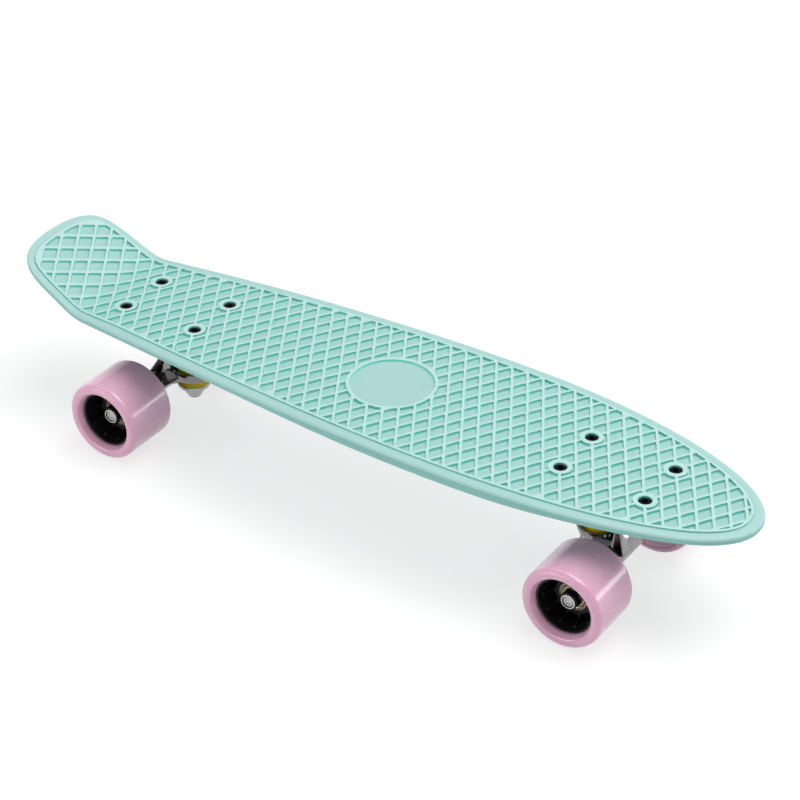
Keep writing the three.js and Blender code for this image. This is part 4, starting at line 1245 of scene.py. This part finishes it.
for end in ("front", "rear"):
    place = truck_matrix(end)
    for node_name, pattern, finish, body, slot in TRUCK_PIECES:
        rides = "board" if body == "board" else end + "_truck"
        skin = settle(copied(pattern, f"skin_{end}_{node_name}"), place)
        finish_piece(skin, finish, rides, slot, f"{end}_{node_name}")
    for node_name, pattern, board_side, truck_side in BUSHINGS:
        skin = settle(copied(pattern, f"skin_{end}_{node_name}"), place)
        skin.data.materials.clear()
        skin.data.materials.append(YELLOW)
        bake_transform(skin)
        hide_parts(f"{end}_{node_name}")
for pattern in [row[1] for row in TRUCK_PIECES + BUSHINGS]:
    bpy.data.objects.remove(pattern)

WHEEL_PIECES = [
    ("tyre", make_tyre(), PINK, "wheel_urethane"),
    ("core", make_core(), BLACK_PLASTIC, "core_plastic"),
    ("outer_bearing", make_bearing(BEARING_OUTER_FACE), BEARING_STEEL, "bearing_steel"),
    ("inner_bearing", turn_piece(make_bearing(-BEARING_INNER_FACE), Matrix.Rotation(math.pi, 4, "X")),
     BEARING_STEEL, "bearing_steel"),
    ("axle_nut", make_axle_nut(), NUT_STEEL, "black_nut"),
]
for end in ("front", "rear"):
    for side in ("left", "right"):
        place = wheel_matrix(end, side)
        for i, (node_name, pattern, finish, slot) in enumerate(WHEEL_PIECES):
            rides = end + "_truck" if node_name == "axle_nut" else f"{end}_{side}_wheel"
            twist = Matrix.Rotation(0.4 * i + (0.9 if end == "front" else 2.1), 4, "Y")
            skin = settle(copied(pattern, f"skin_{end}_{side}_{node_name}"), place @ twist)
            finish_piece(skin, finish, rides, slot, f"{end}_{side}_{node_name}")
for row in WHEEL_PIECES:
    bpy.data.objects.remove(row[1])

# Floor, light and camera, in metres

FLOOR_SIZE = 60
SHADOW_NEAR = 0.5
SHADOW_FAR = 1.3
SKY_STRENGTH = 0.42
SKY_SHADES = [(0.0, 0.3), (0.35, 0.55), (0.8, 1.0)]
BACKDROP_SHADES = [(0.2, 1.0), (0.55, 0.3)]
CAMERA_PLACE = (0.76285, -1.10515, 0.96642)
CAMERA_AZIMUTH = math.radians(33.98)
CAMERA_ELEVATION = math.radians(33.64)
LENS_LENGTH = 103.82
SENSOR_WIDTH = 36


def grey(value):
    return (value, value, value)


def seen_share(made):
    """One for what the camera sees, also by way of metal or glass, and zero for what lights the board."""
    rays = node(made, "LightPath")
    share = rays.outputs["Is Camera Ray"]
    for name in ("Is Glossy Ray", "Is Transmission Ray"):
        either = node(made, "Math", operation="MAXIMUM")
        link(made, share, either.inputs[0])
        link(made, rays.outputs[name], either.inputs[1])
        share = either.outputs[0]
    return share


def make_floor():
    take()
    bpy.ops.mesh.primitive_plane_add(size=FLOOR_SIZE)
    floor = bpy.context.object
    floor.name = "floor"
    paper = material("pale_floor", grey(0.88), 0.9, Specular_IOR_Level=0.0)
    # What the camera sees of it, also in metal, is mostly its own white, so that the shadow stays faint
    faint = node(paper, "BsdfDiffuse")
    faint.inputs["Color"].default_value = (*grey(0.36), 1)
    white = node(paper, "Emission")
    # Painted shade: the floor's white glow is weaker within SHADOW_NEAR of the middle and full beyond
    # SHADOW_FAR, so the floor is darker round the board and whiter far from it.
    far = node(paper, "VectorMath", operation="LENGTH")
    link(paper, node(paper, "TexCoord").outputs["Object"], far.inputs[0])
    painted_shade_rise = node(paper, "MapRange")
    for socket, value in (("From Min", SHADOW_NEAR), ("From Max", SHADOW_FAR), ("To Min", 0.7),
                          ("To Max", 1.0)):
        painted_shade_rise.inputs[socket].default_value = value
    link(paper, far.outputs["Value"], painted_shade_rise.inputs["Value"])
    link(paper, painted_shade_rise.outputs["Result"], white.inputs["Strength"])
    both = node(paper, "AddShader")
    link(paper, faint.outputs[0], both.inputs[0])
    link(paper, white.outputs[0], both.inputs[1])
    mixed = node(paper, "MixShader")
    link(paper, seen_share(paper), mixed.inputs[0])
    link(paper, shader_of(paper).outputs[0], mixed.inputs[1])
    link(paper, both.outputs[0], mixed.inputs[2])
    link(paper, mixed.outputs[0], paper.node_tree.nodes["Material Output"].inputs["Surface"])
    floor.data.materials.append(paper)


def lamp(name, place, target, power, size, size_y=None):
    light = bpy.data.lights.new(name, "AREA")
    light.energy = power
    light.size = size
    if size_y:
        light.shape = "RECTANGLE"
        light.size_y = size_y
    holder = bpy.data.objects.new(name, light)
    bpy.context.scene.collection.objects.link(holder)
    holder.location = place
    aim = Vector(target) - Vector(place)
    holder.rotation_euler = aim.to_track_quat("-Z", "Y").to_euler()
    holder.visible_camera = False
    return holder


make_floor()
lamp("overhead", place=(0.45, 0.5, 2.0), target=(0, 0, 0), power=36, size=1.7)
lamp("front", place=(-1.1, -2.0, 0.6), target=(0, 0, 0.05), power=14, size=1.5, size_y=0.7)
lamp("strip", place=(1.35, 1.31, 0.32), target=(0, 0, 0.05), power=5, size=1.2, size_y=0.25)

world = bpy.data.worlds.new("studio")
bpy.context.scene.world = world
world.use_nodes = True
sky = world.node_tree.nodes["Background"]
sky.inputs["Strength"].default_value = SKY_STRENGTH
height = node(world, "SeparateXYZ")
link(world, node(world, "TexCoord").outputs["Generated"], height.inputs["Vector"])
backdrop = node(world, "Background", Strength=1.0)
for part, shades in ((sky, SKY_SHADES), (backdrop, BACKDROP_SHADES)):
    stops = [(place, grey(value)) for place, value in shades]
    link(world, ramp(world, height.outputs["Z"], stops), part.inputs["Color"])
shown = node(world, "MixShader")
link(world, seen_share(world), shown.inputs[0])
link(world, sky.outputs[0], shown.inputs[1])
link(world, backdrop.outputs[0], shown.inputs[2])
link(world, shown.outputs[0], world.node_tree.nodes["World Output"].inputs["Surface"])

level = math.cos(CAMERA_ELEVATION)
back = Vector((math.sin(CAMERA_AZIMUTH) * level, -math.cos(CAMERA_AZIMUTH) * level,
               math.sin(CAMERA_ELEVATION)))
right = Vector((math.cos(CAMERA_AZIMUTH), math.sin(CAMERA_AZIMUTH), 0))
up = back.cross(right)
lens = bpy.data.cameras.new("camera")
lens.lens = LENS_LENGTH
lens.sensor_width = SENSOR_WIDTH
camera = bpy.data.objects.new("camera", lens)
bpy.context.scene.collection.objects.link(camera)
aim = Matrix((right, up, back)).transposed().to_4x4()
camera.matrix_world = Matrix.Translation(CAMERA_PLACE) @ aim
bpy.context.scene.camera = camera
bpy.context.scene.view_settings.view_transform = "Standard"
